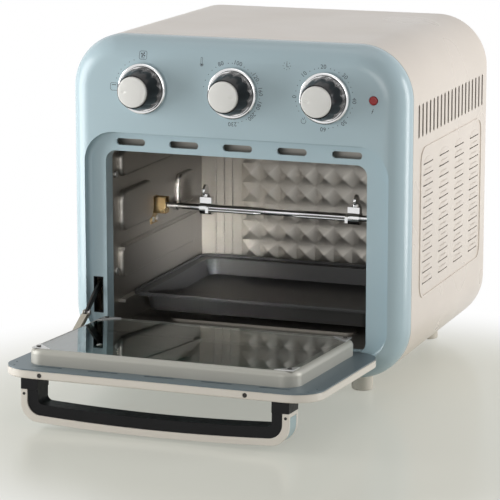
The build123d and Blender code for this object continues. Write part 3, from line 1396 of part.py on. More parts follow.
def door_screws():
    """Clip screws, rim screws and the handle's screws."""
    group = []
    top = FRAME_TOP + CLIP_T
    for x, u in clip_screw_places():
        head = door_hole(x, u, top, top + CLIP_SCREW_HEAD_T, CLIP_SCREW_HEAD_R)
        group.append(head + door_hole(x, u, top - CLIP_SCREW_L, top, CLIP_SCREW_R))
    y = HINGE_Y - DOOR_U1 + RIM_SCREW_SINK
    z = HINGE_Z + (DOOR_OUT + SHELL_TOP) / 2
    for x in rim_screw_xs():
        head = rod_y(y - RIM_SCREW_HEAD_T, y, x, z, RIM_SCREW_HEAD_R)
        group.append(head + rod_y(y, y + RIM_SCREW_L, x, z, SCREW_R))
    for side in (-1, 1):
        for u in handle_screw_us():
            low = HANDLE_TOP - HANDLE_BLACK_DROP + FIT
            group.append(door_hole(side * HANDLE_X, u, low, SHELL_TOP - SCREW_END, SCREW_R))
    return hang(Compound(children=group))


# Handle, hanging under the open door
def u_outline(out_x, bottom, r):
    """The handle's U as a closed face in the X-Z plane, its flat top at the door."""
    z1 = HINGE_Z + HANDLE_TOP
    z0 = z1 - bottom
    turn = r * (1 - math.sqrt(0.5))
    outline = [
        Line((-out_x, z1), (-out_x, z0 + r)),
        ThreePointArc((-out_x, z0 + r), (-out_x + turn, z0 + turn), (-out_x + r, z0)),
        ThreePointArc((-out_x + r, z0), (0, z0 - HANDLE_BOW), (out_x - r, z0)),
        ThreePointArc((out_x - r, z0), (out_x - turn, z0 + turn), (out_x, z0 + r)),
        Line((out_x, z0 + r), (out_x, z1)),
        Line((out_x, z1), (-out_x, z1)),
    ]
    return make_face(Wire(outline))


def u_layer(inset, r, u0, u1):
    """The handle's U inside its outer outline, smaller by inset, between two places along u."""
    sketch = u_outline(HANDLE_OUT_X - inset, HANDLE_DROP - inset, r)
    return extrude(Plane.XZ.offset(u0 - HINGE_Y) * sketch, amount=u1 - u0)


def above_handle(drop):
    """Everything of the handle above a drop from its top."""
    far = 2 * HANDLE_X
    z = HINGE_Z + HANDLE_TOP - drop
    return block(-far, far, HINGE_Y - DOOR_U1 - far, HINGE_Y, z, z + far)


def handle_core():
    """Black inner part of the handle, full thickness beside the door."""
    gap = Plane.XZ.offset(HANDLE_U0 - HINGE_Y) * u_outline(HANDLE_IN_X, HANDLE_GAP, HANDLE_INNER_R)
    u0 = HANDLE_U0 + HANDLE_CORE_IN
    u1 = HANDLE_U1 - HANDLE_CORE_IN
    core = u_layer(HANDLE_COVER_T, HANDLE_CORE_R, u0, u1) - extrude(gap, amount=HANDLE_D)
    z1 = HINGE_Z + HANDLE_TOP
    for side in (-1, 1):
        lo, hi = sorted((side * HANDLE_IN_X, side * HANDLE_OUT_X))
        core += block(lo, hi, HINGE_Y - HANDLE_U1, HINGE_Y - HANDLE_U0, z1 - HANDLE_BLACK_DROP, z1)
        for u in handle_screw_us():
            h0 = HANDLE_TOP - HANDLE_SCREW_DEEP
            core -= door_hole(side * HANDLE_X, u, h0, HANDLE_TOP + PAST, SCREW_R + SCREW_FIT)
    return hang(core)


def handle_cover():
    """Pale outer cap that wraps the black part."""
    cover = u_layer(0, HANDLE_R, HANDLE_U0, HANDLE_U1)
    cover -= u_layer(HANDLE_COVER_T, HANDLE_CORE_R, HANDLE_U0 - PAST, HANDLE_U1 + PAST)
    return hang(cover - above_handle(HANDLE_BLACK_DROP) - inlay_band(INLAY_FIT))


def inlay_band(room):
    """The inlay with room round it, running out past the cover."""
    t = INLAY_T + room
    band = u_layer(-PAST, HANDLE_R + PAST, HANDLE_U0 + INLAY_IN - room, HANDLE_U1 - INLAY_IN + room)
    band -= u_layer(t, HANDLE_R - t, HANDLE_U0, HANDLE_U1)
    return band - above_handle(HANDLE_BLACK_DROP + INLAY_IN - room)


def handle_inlay():
    """Coloured strip let into the cover's outer face."""
    return hang(inlay_band(0.0) & u_layer(INLAY_SINK, HANDLE_R - INLAY_SINK, HANDLE_U0, HANDLE_U1))


# Door hinges on the bezel
def hinge_brackets():
    """Two U brackets behind the bezel's lower lip, their ears through the pockets."""
    group = []
    y, z = HINGE_Y, HINGE_Z
    top = SEAT_Z0 - BEZEL_WALL
    for side in (-1, 1):
        x0, x1 = hinge_span(side, 0)
        part = block(x0, x1, y + HINGE_BASE_FRONT, SEAT_D + HINGE_BASE_REAR, top - HINGE_BASE_T, top)
        for ear in (x0, x1 - EAR_T):
            part += block(ear, ear + EAR_T, y, SEAT_D - EAR_END, top - HINGE_BASE_T / 2, z)
            part += rod_x(ear, ear + EAR_T, y, z, LUG_R)
        group.append(part - rod_x(x0 - PAST, x1 + PAST, y, z, PIN_R))
    return Compound(children=group)


def hinge_pins():
    """One pin through each hinge."""
    spans = [hinge_span(side, 0) for side in (-1, 1)]
    return Compound(children=[rod_x(x0, x1, HINGE_Y, HINGE_Z, PIN_R) for x0, x1 in spans])


# Door stay
def stay_bush():
    """Black liner of the slot that the stay slides through."""
    half = STAY_SLOT_W / 2 - BUSH_FIT
    t = STAY_BUSH_T
    y0 = SEAT_D - BUSH_PROUD
    y1 = SEAT_D + BEZEL_WALL + BUSH_END
    z0 = STAY_SLOT_Z0 + BUSH_FIT
    z1 = STAY_SLOT_Z0 + STAY_SLOT_H - BUSH_FIT
    bush = block(STAY_X - half, STAY_X + half, y0, y1, z0, z1)
    return bush - block(STAY_X - half + t, STAY_X + half - t, y0 - PAST, y1 + PAST, z0 + t, z1 - t)


def level_rivet():
    """The rivet's place when the door is drawn level, relative to the hinge line."""
    turn = math.radians(OPEN_TILT)
    y = RIVET_Y * math.cos(turn) - RIVET_UP * math.sin(turn)
    z = RIVET_Y * math.sin(turn) + RIVET_UP * math.cos(turn)
    return y, z


def stay_strut():
    """Slanted channel from the door plate up to the rivet, with its foot."""
    rivet_y, rivet_z = level_rivet()
    y0 = HINGE_Y + STRUT_FOOT_Y
    z0 = HINGE_Z + DOOR_IN
    length = math.hypot(rivet_y - STRUT_FOOT_Y, rivet_z - DOOR_IN)
    angle = math.degrees(math.atan2(rivet_z - DOOR_IN, rivet_y - STRUT_FOOT_Y))
    half = STRUT_W / 2
    t = STRUT_T
    h = STRUT_H / 2
    end = length + STRUT_END
    body = block(-half, half, -STRUT_END, end, -h, h)
    body -= block(-half + t, half - t, -STRUT_END - PAST, end + PAST, -h - PAST, h - t)
    body -= block(-half, half, length - STRUT_MOUTH, end + PAST, h - t, h + PAST)
    body = Pos(STAY_X, y0, z0) * Rot(angle, 0, 0) * body
    body -= block(STAY_X - STRUT_W, STAY_X + STRUT_W, y0 - length, y0 + length, z0 - length, z0)
    body += block(STAY_X - half, STAY_X + half, y0 - STRUT_FOOT_OUT, y0 + STRUT_FOOT_IN, z0, z0 + t)
    body -= rod_x(STAY_X - STRUT_W, STAY_X + STRUT_W, HINGE_Y + rivet_y, HINGE_Z + rivet_z, RIVET_R)
    return hang(body)


def stay_rivet():
    """Rivet that joins the strut and the arm, with two flat heads."""
    half = STRUT_W / 2
    y = HINGE_Y + RIVET_Y
    part = rod_x(STAY_X - half, STAY_X + half, y, RIVET_Z, RIVET_R)
    for side in (-1, 1):
        lo, hi = sorted((STAY_X + side * half, STAY_X + side * (half + RIVET_HEAD_T)))
        part += rod_x(lo, hi, y, RIVET_Z, RIVET_R + RIVET_HEAD)
    return part


def stay_arm():
    """Flat curved arm that slides in through the slot as the door shuts."""
    y = HINGE_Y + RIVET_Y
    h = ARM_H / 2
    tip = h * ARM_TIP
    outline = [
        ThreePointArc((0, -tip), (-tip, 0), (0, tip)),
        ThreePointArc((0, tip), (ARM_L / 2, h + ARM_BEND), (ARM_L, h)),
        ThreePointArc((ARM_L, h), (ARM_L + h, 0), (ARM_L, -h)),
        ThreePointArc((ARM_L, -h), (ARM_L / 2, -h + ARM_BEND), (0, -tip)),
    ]
    arm = extrude(Plane.YZ.offset(-ARM_T / 2) * make_face(Wire(outline)), amount=ARM_T)
    arm = Pos(STAY_X, y, RIVET_Z) * Rot(ARM_ANGLE, 0, 0) * arm
    return arm - rod_x(STAY_X - ARM_T, STAY_X + ARM_T, y, RIVET_Z, RIVET_R + PIN_FIT)


def build():
    """Every node of the oven by name."""
    left, middle, right = knob_xs()
    nodes = {
        "front_bezel": front_bezel(),
        "cabinet_sleeve": cabinet_sleeve(),
        "base_plate": base_plate(),
        "feet": feet(),
        "rear_panel": rear_panel(),
        "case_screws": case_screws(),
        "cord_gland": cord_gland(),
        "terminal_block": terminal_block(),
        "chamber_left_wall": chamber_left_wall(),
        "chamber_right_wall": chamber_right_wall(),
        "chamber_floor": chamber_floor(),
        "chamber_roof": chamber_roof(),
        "fan_guard": fan_guard(),
        "heater_coil": heater_coil(),
        "fan_impeller": fan_impeller(),
        "fan_shaft": fan_shaft(),
        "fan_motor": fan_motor(),
        "spit_bracket": spit_bracket(),
        "spit_rod": spit_rod(),
        "drive_socket": drive_socket(),
        "gear_motor": gear_motor(),
        "left_fork": spit_fork(-FORK_X, 1),
        "left_thumbscrew": fork_thumbscrew(-FORK_X, 1),
        "right_fork": spit_fork(FORK_X, -1),
        "right_thumbscrew": fork_thumbscrew(FORK_X, -1),
        "baking_tray": baking_tray(),
        "mode_switch": switch_unit(left),
        "thermostat": thermostat_unit(middle),
        "timer": timer_unit(right),
        "indicator_lens": indicator_lens(),
        "indicator_lamp": indicator_lamp(),
        "door_shell": door_shell(),
        "door_face": door_face(),
        "door_plate": door_plate(),
        "door_frame": raised_frame(),
        "inner_glass": inner_glass(),
        "outer_glass": outer_glass(),
        "corner_clips": corner_clips(),
        "door_screws": door_screws(),
        "handle_core": handle_core(),
        "handle_cover": handle_cover(),
        "handle_inlay": handle_inlay(),
        "hinge_brackets": hinge_brackets(),
        "hinge_pins": hinge_pins(),
        "stay_bush": stay_bush(),
        "stay_strut": stay_strut(),
        "stay_rivet": stay_rivet(),
        "stay_arm": stay_arm(),
    }
    for name, x, mark in (("mode", left, 180), ("thermostat", middle, 0), ("timer", right, 180)):
        nodes[name + "_knob"] = knob_grip(x)
        nodes[name + "_knob_cap"] = knob_cap(x, mark)
        nodes[name + "_knob_skirt"] = knob_skirt(x)
        nodes[name + "_knob_shaft"] = knob_shaft(x)
    return nodes


os.makedirs("parts", exist_ok=True)
centred = Pos(0, -MIDDLE_Y, 0)
for name, shape in build().items():
    export_step(centred * shape, f"parts/{name}.step")
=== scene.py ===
"""Dresses a countertop air fryer oven with a drop-down glass door for its studio picture."""

import logging
import math
from dataclasses import dataclass, field, replace
from enum import Enum

import bmesh
import bpy
from bmesh.types import BMEdge, BMesh, BMVert
from bpy.types import Material, Node, NodeSocket, NodeTree, Object
from mathutils import Matrix, Vector


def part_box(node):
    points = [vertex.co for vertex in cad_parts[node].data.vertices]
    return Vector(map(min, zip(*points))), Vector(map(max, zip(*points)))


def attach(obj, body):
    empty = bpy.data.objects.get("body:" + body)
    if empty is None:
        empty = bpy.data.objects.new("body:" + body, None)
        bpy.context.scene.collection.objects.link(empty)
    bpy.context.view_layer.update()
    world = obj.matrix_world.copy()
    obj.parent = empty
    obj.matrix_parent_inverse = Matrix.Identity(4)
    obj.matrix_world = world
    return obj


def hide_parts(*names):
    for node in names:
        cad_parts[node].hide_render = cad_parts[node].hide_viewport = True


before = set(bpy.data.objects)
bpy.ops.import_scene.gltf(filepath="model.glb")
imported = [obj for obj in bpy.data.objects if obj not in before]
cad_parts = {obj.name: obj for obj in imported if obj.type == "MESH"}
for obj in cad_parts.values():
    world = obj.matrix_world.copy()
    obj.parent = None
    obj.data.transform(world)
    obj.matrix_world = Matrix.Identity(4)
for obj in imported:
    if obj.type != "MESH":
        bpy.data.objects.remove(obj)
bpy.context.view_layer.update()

Triple = tuple[float, float, float]

LOG = logging.getLogger("oven")
MM = 0.001

# Corners this close are one: in metres for a node's mesh, in millimetres for turned and printed pieces
NODE_JOIN = 2e-6
LATHE_JOIN = 1e-4
PRINT_JOIN = 1e-3
# Least fold in degrees that is kept as an edge when a node's triangles are joined
FLAT_FOLD = 0.4

# Looks that all finishes share: the pressed sheet's slow waves in millimetres, the clear layer's roughness,
# how many grains wide a smear of the gloss is, and the noise factors between which patches and smears change
WAVE_SIZE = 70.0
COAT_ROUGHNESS = 0.03
SMEAR_GRAINS = 9.0
PATCH_EDGES = (0.35, 0.65)
SMEAR_EDGES = (0.3, 0.7)

WHITE = (1.0, 1.0, 1.0, 1.0)
# Sockets of a Mix node that blends two colours
MIX_FIRST, MIX_SECOND, MIX_RESULT = 6, 7, 2

# Camera of the picture, in millimetres from the middle of the bezel's front edge on the table
CAMERA_PLACE = (836.89, -2226.77, 623.32)
CAMERA_TARGET = (16.71, 0.0, 130.16)
FOCAL_PIXELS = 2625.61
PICTURE_PIXELS = 500.0
SENSOR_MM = 36.0

# The bezel's rounded outline in millimetres: half its width, its lowest and highest place, corner and roll
BEZEL_OUTLINE = (165.0, 13.0, 323.0)
BEZEL_CORNER = 50.5
BEZEL_ROLL = 22.0

# Print is split until its edges are this short in millimetres, so that it follows the roll
PRINT_STEP = 1.2
PRINT_SPLITS = 3
DOT_CORNERS = 14
# Size of the font that gives figures one millimetre high
FONT_PER_HEIGHT = 1.42

# Figures and dots of the dials, each at its clockwise angle in degrees from 12 o'clock
HEAT_FIGURES = (("80", -21), ("100", 13), ("120", 56), ("160", 84), ("180", 110), ("200", 136), ("230", 178))
HEAT_DOTS = (-80, -67, -54, -43, -33, -6, 2, 27, 36, 45, 68, 98, 124, 148, 158, 166)
TIME_FIGURES = (("0", -90), ("10", -43), ("20", -2), ("30", 43), ("40", 92), ("50", 139), ("60", 182))
TIME_DOTS = (
    -118, -108, -99, -79, -68, -57, -30, -20, -12, 12, 20, 30, 56, 66, 76, 106, 116, 126, 152, 162, 171,
)
MODE_DOTS = (-72, -62, -52, -40, -29, -18)

# Outline of a small screw's head: radius and depth in millimetres
SCREW_HEAD = [(0.0, 0.2), (1.35, 0.2), (1.35, -0.1), (1.1, -0.28), (0.5, -0.28), (0.35, -0.08), (0.0, -0.08)]


class Grain(Enum):
    """How a finish's surface is broken up."""

    POLISHED = "polished"
    PEEL = "peel"
    MOULDED = "moulded"
    ROLLED = "rolled"


# Octaves of each grain's bump, and how much finer it is along X, Y and Z
EVEN = (1.0, 1.0, 1.0)
ROLLED_ALONG_Y = (1.0, 0.14, 1.0)
GRAIN_SHAPE: dict[Grain, tuple[float, Triple]] = {
    Grain.POLISHED: (1.0, EVEN),
    Grain.PEEL: (1.5, EVEN),
    Grain.MOULDED: (4.0, EVEN),
    Grain.ROLLED: (3.0, ROLLED_ALONG_Y),
}


@dataclass(frozen=True)
class Finish:
    """A named surface finish, with the size and depth of its texture.

    Attributes:
        name: what the finish is called.
        colour: sRGB colour, 0 to 255.
        tint: second sRGB colour that large soft patches drift towards.
        gloss: lowest and highest roughness.
        grain: kind of surface texture.
        metallic: 1 for bare metal.
        size: texture size in millimetres.
        depth: bump depth in millimetres.
        wave: depth in millimetres of the slow unevenness of pressed sheet.
        coat: weight of a clear top layer.
        shine: strength of the bare surface's mirror light, 0.5 for most.
        clear: weight of light let through.
        tint_size: size in millimetres of the patches.
        slot: material slot of its pieces, where that isn't called as the finish is. Not used.
    """

    name: str
    colour: tuple[int, int, int]
    tint: tuple[int, int, int]
    gloss: tuple[float, float]
    grain: Grain = Grain.MOULDED
    metallic: float = 0.0
    size: float = 1.0
    depth: float = 0.02
    wave: float = 0.0
    coat: float = 0.0
    shine: float = 0.5
    clear: float = 0.0
    tint_size: float = 60.0
    slot: str = ""

    def material(self) -> Material:
        """Returns this finish as a material, made once."""
        known = bpy.data.materials.get(self.name)
        if known is not None:
            return known
        made = bpy.data.materials.new(self.name)
        made.use_nodes = True
        Shader(self, made.node_tree).build()
        return made


def linear(colour: tuple[int, int, int]) -> tuple[float, float, float, float]:
    """Turns an sRGB colour into linear light.

    Args:
        colour: red, green and blue from 0 to 255.

    Returns:
        Linear red, green, blue and an alpha of 1.
    """
    parts = [value / 255.0 for value in colour]
    light = [part / 12.92 if part <= 0.04045 else ((part + 0.055) / 1.055) ** 2.4 for part in parts]
    return (*light, 1.0)


def add_node(
    tree: NodeTree, kind: str, inputs: dict[str | int, object] | None = None, **settings: str
) -> Node:
    """Adds a shader node.

    Args:
        tree: the node tree that takes it.
        kind: its type, without the ShaderNode in front.
        inputs: what goes into its sockets, by name or number: a value, or the socket of another node.
        settings: its settings, by name.

    Returns:
        The node.
    """
    node = tree.nodes.new("ShaderNode" + kind)
    for name, setting in settings.items():
        setattr(node, name, setting)
    for name, value in (inputs or {}).items():
        if isinstance(value, NodeSocket):
            tree.links.new(value, node.inputs[name])
        else:
            node.inputs[name].default_value = value
    return node


@dataclass
class Shader:
    """Builds the node tree of one finish."""

    finish: Finish
    tree: NodeTree

    def build(self) -> None:
        """Fills the material's node tree."""
        finish = self.finish
        self.tree.nodes.clear()
        place = add_node(self.tree, "TexCoord").outputs["Object"]
        octaves, stretch = GRAIN_SHAPE[finish.grain]
        smears = self.noise(place, finish.size * SMEAR_GRAINS, 2.0, stretch)
        normal = self.bump(self.noise(place, finish.size, octaves, stretch), finish.depth)
        if finish.wave > 0.0:
            normal = self.bump(self.noise(place, WAVE_SIZE, 1.0, EVEN), finish.wave, normal)
        look = {
            "Base Color": self.colour(place),
            "Metallic": finish.metallic,
            "Roughness": self.ranged(smears, SMEAR_EDGES, finish.gloss),
            "Normal": normal,
            "Specular IOR Level": finish.shine,
            "Transmission Weight": finish.clear,
            "Coat Weight": finish.coat,
            "Coat Roughness": COAT_ROUGHNESS,
        }
        if finish.coat > 0.0:
            look["Coat Normal"] = normal
        skin = add_node(self.tree, "BsdfPrincipled", look)
        add_node(self.tree, "OutputMaterial", {"Surface": skin.outputs["BSDF"]})

    def colour(self, place: NodeSocket) -> NodeSocket:
        """Lets the colour drift between the finish's two tones in large soft patches.

        Args:
            place: object coordinates.

        Returns:
            The colour.
        """
        patches = self.noise(place, self.finish.tint_size, 2.0, EVEN)
        inputs = {
            "Factor": self.ranged(patches, PATCH_EDGES, (0.0, 1.0)),
            MIX_FIRST: linear(self.finish.colour),
            MIX_SECOND: linear(self.finish.tint),
        }
        return add_node(self.tree, "Mix", inputs, data_type="RGBA").outputs[MIX_RESULT]

    def bump(self, height: NodeSocket, depth: float, under: NodeSocket | None = None) -> NodeSocket:
        """Adds a bump.

        Args:
            height: the texture that it follows.
            depth: its depth in millimetres.
            under: normal of the surface that it lies on, where another bump has changed it.

        Returns:
            The new normal.
        """
        inputs = {"Strength": 1.0, "Distance": depth * MM, "Height": height}
        if under is not None:
            inputs["Normal"] = under
        return add_node(self.tree, "Bump", inputs).outputs["Normal"]

    def noise(self, place: NodeSocket, size: float, octaves: float, stretch: Triple) -> NodeSocket:
        """Adds a noise texture.

        Args:
            place: object coordinates.
            size: feature size in millimetres.
            octaves: how many finer layers it has.
            stretch: how much finer the texture is along each axis.

        Returns:
            The noise.
        """
        turn = add_node(self.tree, "Mapping", {"Vector": place, "Scale": stretch})
        inputs = {"Vector": turn.outputs["Vector"], "Scale": 1.0 / (size * MM), "Detail": octaves}
        return add_node(self.tree, "TexNoise", inputs).outputs["Fac"]

    def ranged(
        self, source: NodeSocket, edges: tuple[float, float], result: tuple[float, float]
    ) -> NodeSocket:
        """Maps a texture to a new range.

        Args:
            source: the texture.
            edges: values of it that give the lowest and the highest result.
            result: lowest and highest result.

        Returns:
            The result.
        """
        inputs = {
            "Value": source, "From Min": edges[0], "From Max": edges[1],
            "To Min": result[0], "To Max": result[1],
        }
        return add_node(self.tree, "MapRange", inputs).outputs["Result"]


BEZEL_BLUE = Finish(
    "bezel_blue", (143, 170, 184), (139, 166, 181), (0.18, 0.24), Grain.PEEL, size=3.0, depth=0.002, coat=0.9,
)
CREAM_ENAMEL = Finish(
    "cream_enamel", (221, 211, 200), (217, 207, 196), (0.26, 0.34), Grain.PEEL, size=12.0, depth=0.002,
    slot="cream_steel",
)
CREAM_PLASTIC = Finish("cream_plastic", (230, 221, 209), (225, 216, 204), (0.3, 0.4), size=0.8, depth=0.006)
FOOT_PLASTIC = Finish(
    "foot_plastic", (222, 216, 204), (216, 210, 198), (0.45, 0.55), size=0.8, depth=0.01, slot="cream_plastic",
)
BLUE_TRIM = Finish(
    "blue_trim", (128, 160, 170), (122, 154, 165), (0.14, 0.2), Grain.PEEL, size=2.0, depth=0.004, coat=0.6,
)
BLACK_SATIN = Finish(
    "black_satin", (12, 12, 14), (17, 17, 19), (0.4, 0.5), size=0.5, depth=0.01, shine=0.2,
    slot="black_plastic",
)
BLACK_GLOSS = Finish(
    "black_gloss", (15, 14, 17), (20, 19, 22), (0.16, 0.24), size=0.9, depth=0.004, shine=0.35,
    slot="black_plastic",
)
GREY_FRAME = Finish(
    "grey_frame", (108, 107, 102), (102, 101, 97), (0.34, 0.42), Grain.PEEL, size=0.7, depth=0.012,
)
# The door's inner plate has the bezel's blue paint. This colour is darkened into blue-grey as painted shade,
# standing in for the dark chamber that the plate mirrors.
PLATE_BLUE_WITH_PAINTED_SHADE = Finish(
    "plate_grey", (74, 88, 90), (66, 80, 83), (0.1, 0.16), Grain.PEEL, size=2.4, depth=0.004, coat=1.0,
)
PANE = Finish(
    "pane", (124, 144, 142), (118, 139, 137), (0.0, 0.01), Grain.POLISHED, size=40.0, depth=0.0005, clear=1.0,
    slot="tempered_glass",
)
CHROME = Finish(
    "chrome", (214, 213, 211), (200, 199, 198), (0.03, 0.07), Grain.POLISHED, metallic=1.0, size=4.0,
    depth=0.002,
)
CAP_WHITE = Finish("cap_white", (240, 237, 230), (235, 232, 224), (0.3, 0.38), size=0.9, depth=0.005, coat=0.2)
CHAMBER_STEEL = Finish(
    "chamber_steel", (222, 215, 204), (204, 196, 184), (0.22, 0.34), Grain.ROLLED, metallic=0.35, size=1.1,
    depth=0.012, wave=0.2, tint_size=45.0,
)
ZINC = Finish(
    "zinc", (168, 168, 165), (140, 140, 137), (0.26, 0.4), Grain.ROLLED, metallic=1.0, size=0.8, depth=0.01,
)
NON_STICK = Finish(
    "non_stick", (72, 71, 68), (80, 79, 76), (0.14, 0.24), Grain.PEEL, size=0.6, depth=0.008, coat=0.4,
)
BRONZE = Finish(
    "bronze", (150, 128, 92), (120, 100, 68), (0.24, 0.36), Grain.ROLLED, metallic=0.8, size=0.9, depth=0.01,
    slot="bronze_steel",
)
HEAT_TINT = Finish(
    "heat_tint", (92, 84, 78), (66, 60, 58), (0.35, 0.5), Grain.ROLLED, metallic=0.9, size=0.6, depth=0.02,
    slot="heater",
)
LENS_RED = Finish(
    "lens_red", (150, 18, 24), (120, 8, 14), (0.06, 0.1), Grain.POLISHED, size=3.0, depth=0.002, coat=1.0,
    tint_size=4.0,
)
NATURAL = Finish("natural_moulding", (214, 206, 186), (204, 196, 176), (0.45, 0.55), size=0.7, depth=0.02)
PRINT = Finish("print", (62, 68, 76), (72, 78, 86), (0.5, 0.6), size=0.4, depth=0.002, slot="black_plastic")
DARK_STEEL = Finish(
    "dark_steel", (62, 60, 58), (50, 48, 46), (0.34, 0.46), Grain.ROLLED, metallic=0.7, size=0.7, depth=0.012,
    slot="zinc",
)
STRUT_STEEL = Finish(
    "strut_steel", (176, 170, 156), (160, 154, 140), (0.3, 0.42), Grain.ROLLED, metallic=0.6, size=0.8,
    depth=0.01, slot="zinc",
)
ARM_STEEL = replace(DARK_STEEL, slot="arm_steel")


@dataclass
class Bench:
    """Turns finished meshes into pieces that ride on the frame."""

    front: float = field(default_factory=lambda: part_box("front_bezel")[0].y)

    def to_frame(self, bm: BMesh) -> None:
        """Moves a mesh from millimetres behind the bezel's face into the frame."""
        move = Matrix.Translation((0.0, self.front, 0.0)) @ Matrix.Scale(MM, 4)
        bmesh.ops.transform(bm, matrix=move, verts=bm.verts)

    def place(
        self,
        bm: BMesh,
        name: str,
        body: str,
        finish: Finish,
        replaces: tuple[str, ...] = (),
        smooth: float = 32.0,
        weighted: bool = True,
    ) -> Object:
        """Makes a piece from a mesh that is already in the frame.

        Args:
            bm: the mesh, in metres in the frame. It is freed.
            name: the piece's name.
            body: the body that it rides on.
            finish: its finish.
            replaces: the nodes that it stands for.
            smooth: the angle in degrees from which an edge is sharp.
            weighted: whether large flat faces keep their own shading.

        Returns:
            The piece.
        """
        limit = math.radians(smooth)
        for face in bm.faces:
            face.smooth = True
        for edge in bm.edges:
            edge.smooth = len(edge.link_faces) == 2 and edge.calc_face_angle(0.0) < limit
        mesh = bpy.data.meshes.new(name)
        bm.to_mesh(mesh)
        bm.free()
        piece = bpy.data.objects.new(name, mesh)
        bpy.context.scene.collection.objects.link(piece)
        piece.data.materials.append(finish.material())
        if weighted:
            shade = piece.modifiers.new("even_shading", "WEIGHTED_NORMAL")
            shade.keep_sharp = True
            shade.weight = 100
        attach(piece, body)
        if replaces:
            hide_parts(*replaces)
        LOG.info("%s on %s, %d faces", name, body, len(mesh.polygons))
        return piece

    def from_node(self, node: str) -> BMesh:
        """Copies a node's mesh, with its loose triangles joined into whole faces.

        Args:
            node: the node's name.

        Returns:
            The joined mesh, in the frame.
        """
        bm = bmesh.new()
        bm.from_mesh(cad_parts[node].data)
        bmesh.ops.remove_doubles(bm, verts=bm.verts, dist=NODE_JOIN)
        bmesh.ops.dissolve_limit(
            bm, angle_limit=math.radians(FLAT_FOLD), use_dissolve_boundaries=False, verts=bm.verts,
            edges=bm.edges,
        )
        return bm

    def soften(self, bm: BMesh, width: float, angle: float = 50.0, segments: int = 2) -> None:
        """Rounds a mesh's sharp outer edges.

        Args:
            bm: the mesh.
            width: the rounding in millimetres.
            angle: the least angle in degrees of an edge that is rounded.
            segments: faces across each rounding.
        """
        limit = math.radians(angle)
        folds = [edge for edge in bm.edges if len(edge.link_faces) == 2 and edge.is_convex]
        edges = [edge for edge in folds if edge.calc_face_angle(0.0) > limit]
        bmesh.ops.bevel(
            bm, geom=edges, offset=width * MM, offset_type="OFFSET", segments=segments, profile=0.5,
            affect="EDGES", clamp_overlap=True, material=-1, loop_slide=True,
        )

    def refine(
        self, node: str, body: str, finish: Finish, bevel: float = 0.0, smooth: float = 32.0
    ) -> Object:
        """Stands a smooth-shaded copy of a node in its place.

        Args:
            node: the node.
            body: its body.
            finish: its finish.
            bevel: rounding of its sharp edges in millimetres, or 0.
            smooth: the angle in degrees from which an edge is sharp.

        Returns:
            The piece.
        """
        bm = self.from_node(node)
        if bevel > 0.0:
            self.soften(bm, bevel)
        return self.place(bm, node + "_finished", body, finish, (node,), smooth)

    def dress(self, node: str, finish: Finish) -> None:
        """Gives a node that stays as it is its finish.

        Args:
            node: the node.
            finish: its finish.
        """
        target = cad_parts[node]
        if not target.material_slots:
            target.data.materials.append(finish.material())
        for holder in target.material_slots:
            holder.link = "OBJECT"
            holder.material = finish.material()
        LOG.info("%s keeps its shape", node)


def facing_front(x: float, y: float, z: float) -> Matrix:
    """Returns the place of a flat drawing that faces the front."""
    return Matrix.Translation((x, y, z)) @ Matrix.Rotation(math.radians(90.0), 4, "X")


def ring_of(bm: BMesh, radius: float, count: int, y: float) -> list[BMVert]:
    """Adds a circle that faces the front.

    Args:
        bm: the mesh.
        radius: in millimetres.
        count: its number of corners.
        y: its depth.

    Returns:
        The circle's corners.
    """
    place = facing_front(0.0, y, 0.0)
    return bmesh.ops.create_circle(bm, cap_ends=False, radius=radius, segments=count, matrix=place)["verts"]


def lathe(bm: BMesh, outline: list[tuple[float, float]], steps: int = 96) -> None:
    """Spins an outline round the Y axis.

    Args:
        bm: the mesh, which holds nothing else.
        outline: (radius, depth) corners.
        steps: corners round the turn.
    """
    corners = [bm.verts.new((radius, depth, 0.0)) for radius, depth in outline]
    edges = [bm.edges.new(pair) for pair in zip(corners, corners[1:])]
    bmesh.ops.spin(
        bm, geom=corners + edges, cent=(0.0, 0.0, 0.0), axis=(0.0, 1.0, 0.0), angle=2.0 * math.pi,
        steps=steps, use_merge=True,
    )
    bmesh.ops.remove_doubles(bm, verts=bm.verts, dist=LATHE_JOIN)
    bmesh.ops.recalc_face_normals(bm, faces=bm.faces)


def quarter(radius: float, depth: float, out: float, rise: float, steps: int) -> list[tuple[float, float]]:
    """Works out a quarter turn of an outline, from its outermost point to its frontmost.

    Args:
        radius: of its centre.
        depth: of its centre.
        out: how far it reaches outwards.
        rise: how far it comes forward.
        steps: parts that it is made of.

    Returns:
        Its (radius, depth) corners.
    """
    turns = [math.radians(90.0 * i / steps) for i in range(steps + 1)]
    return [(radius + out * math.cos(turn), depth - rise * math.sin(turn)) for turn in turns]


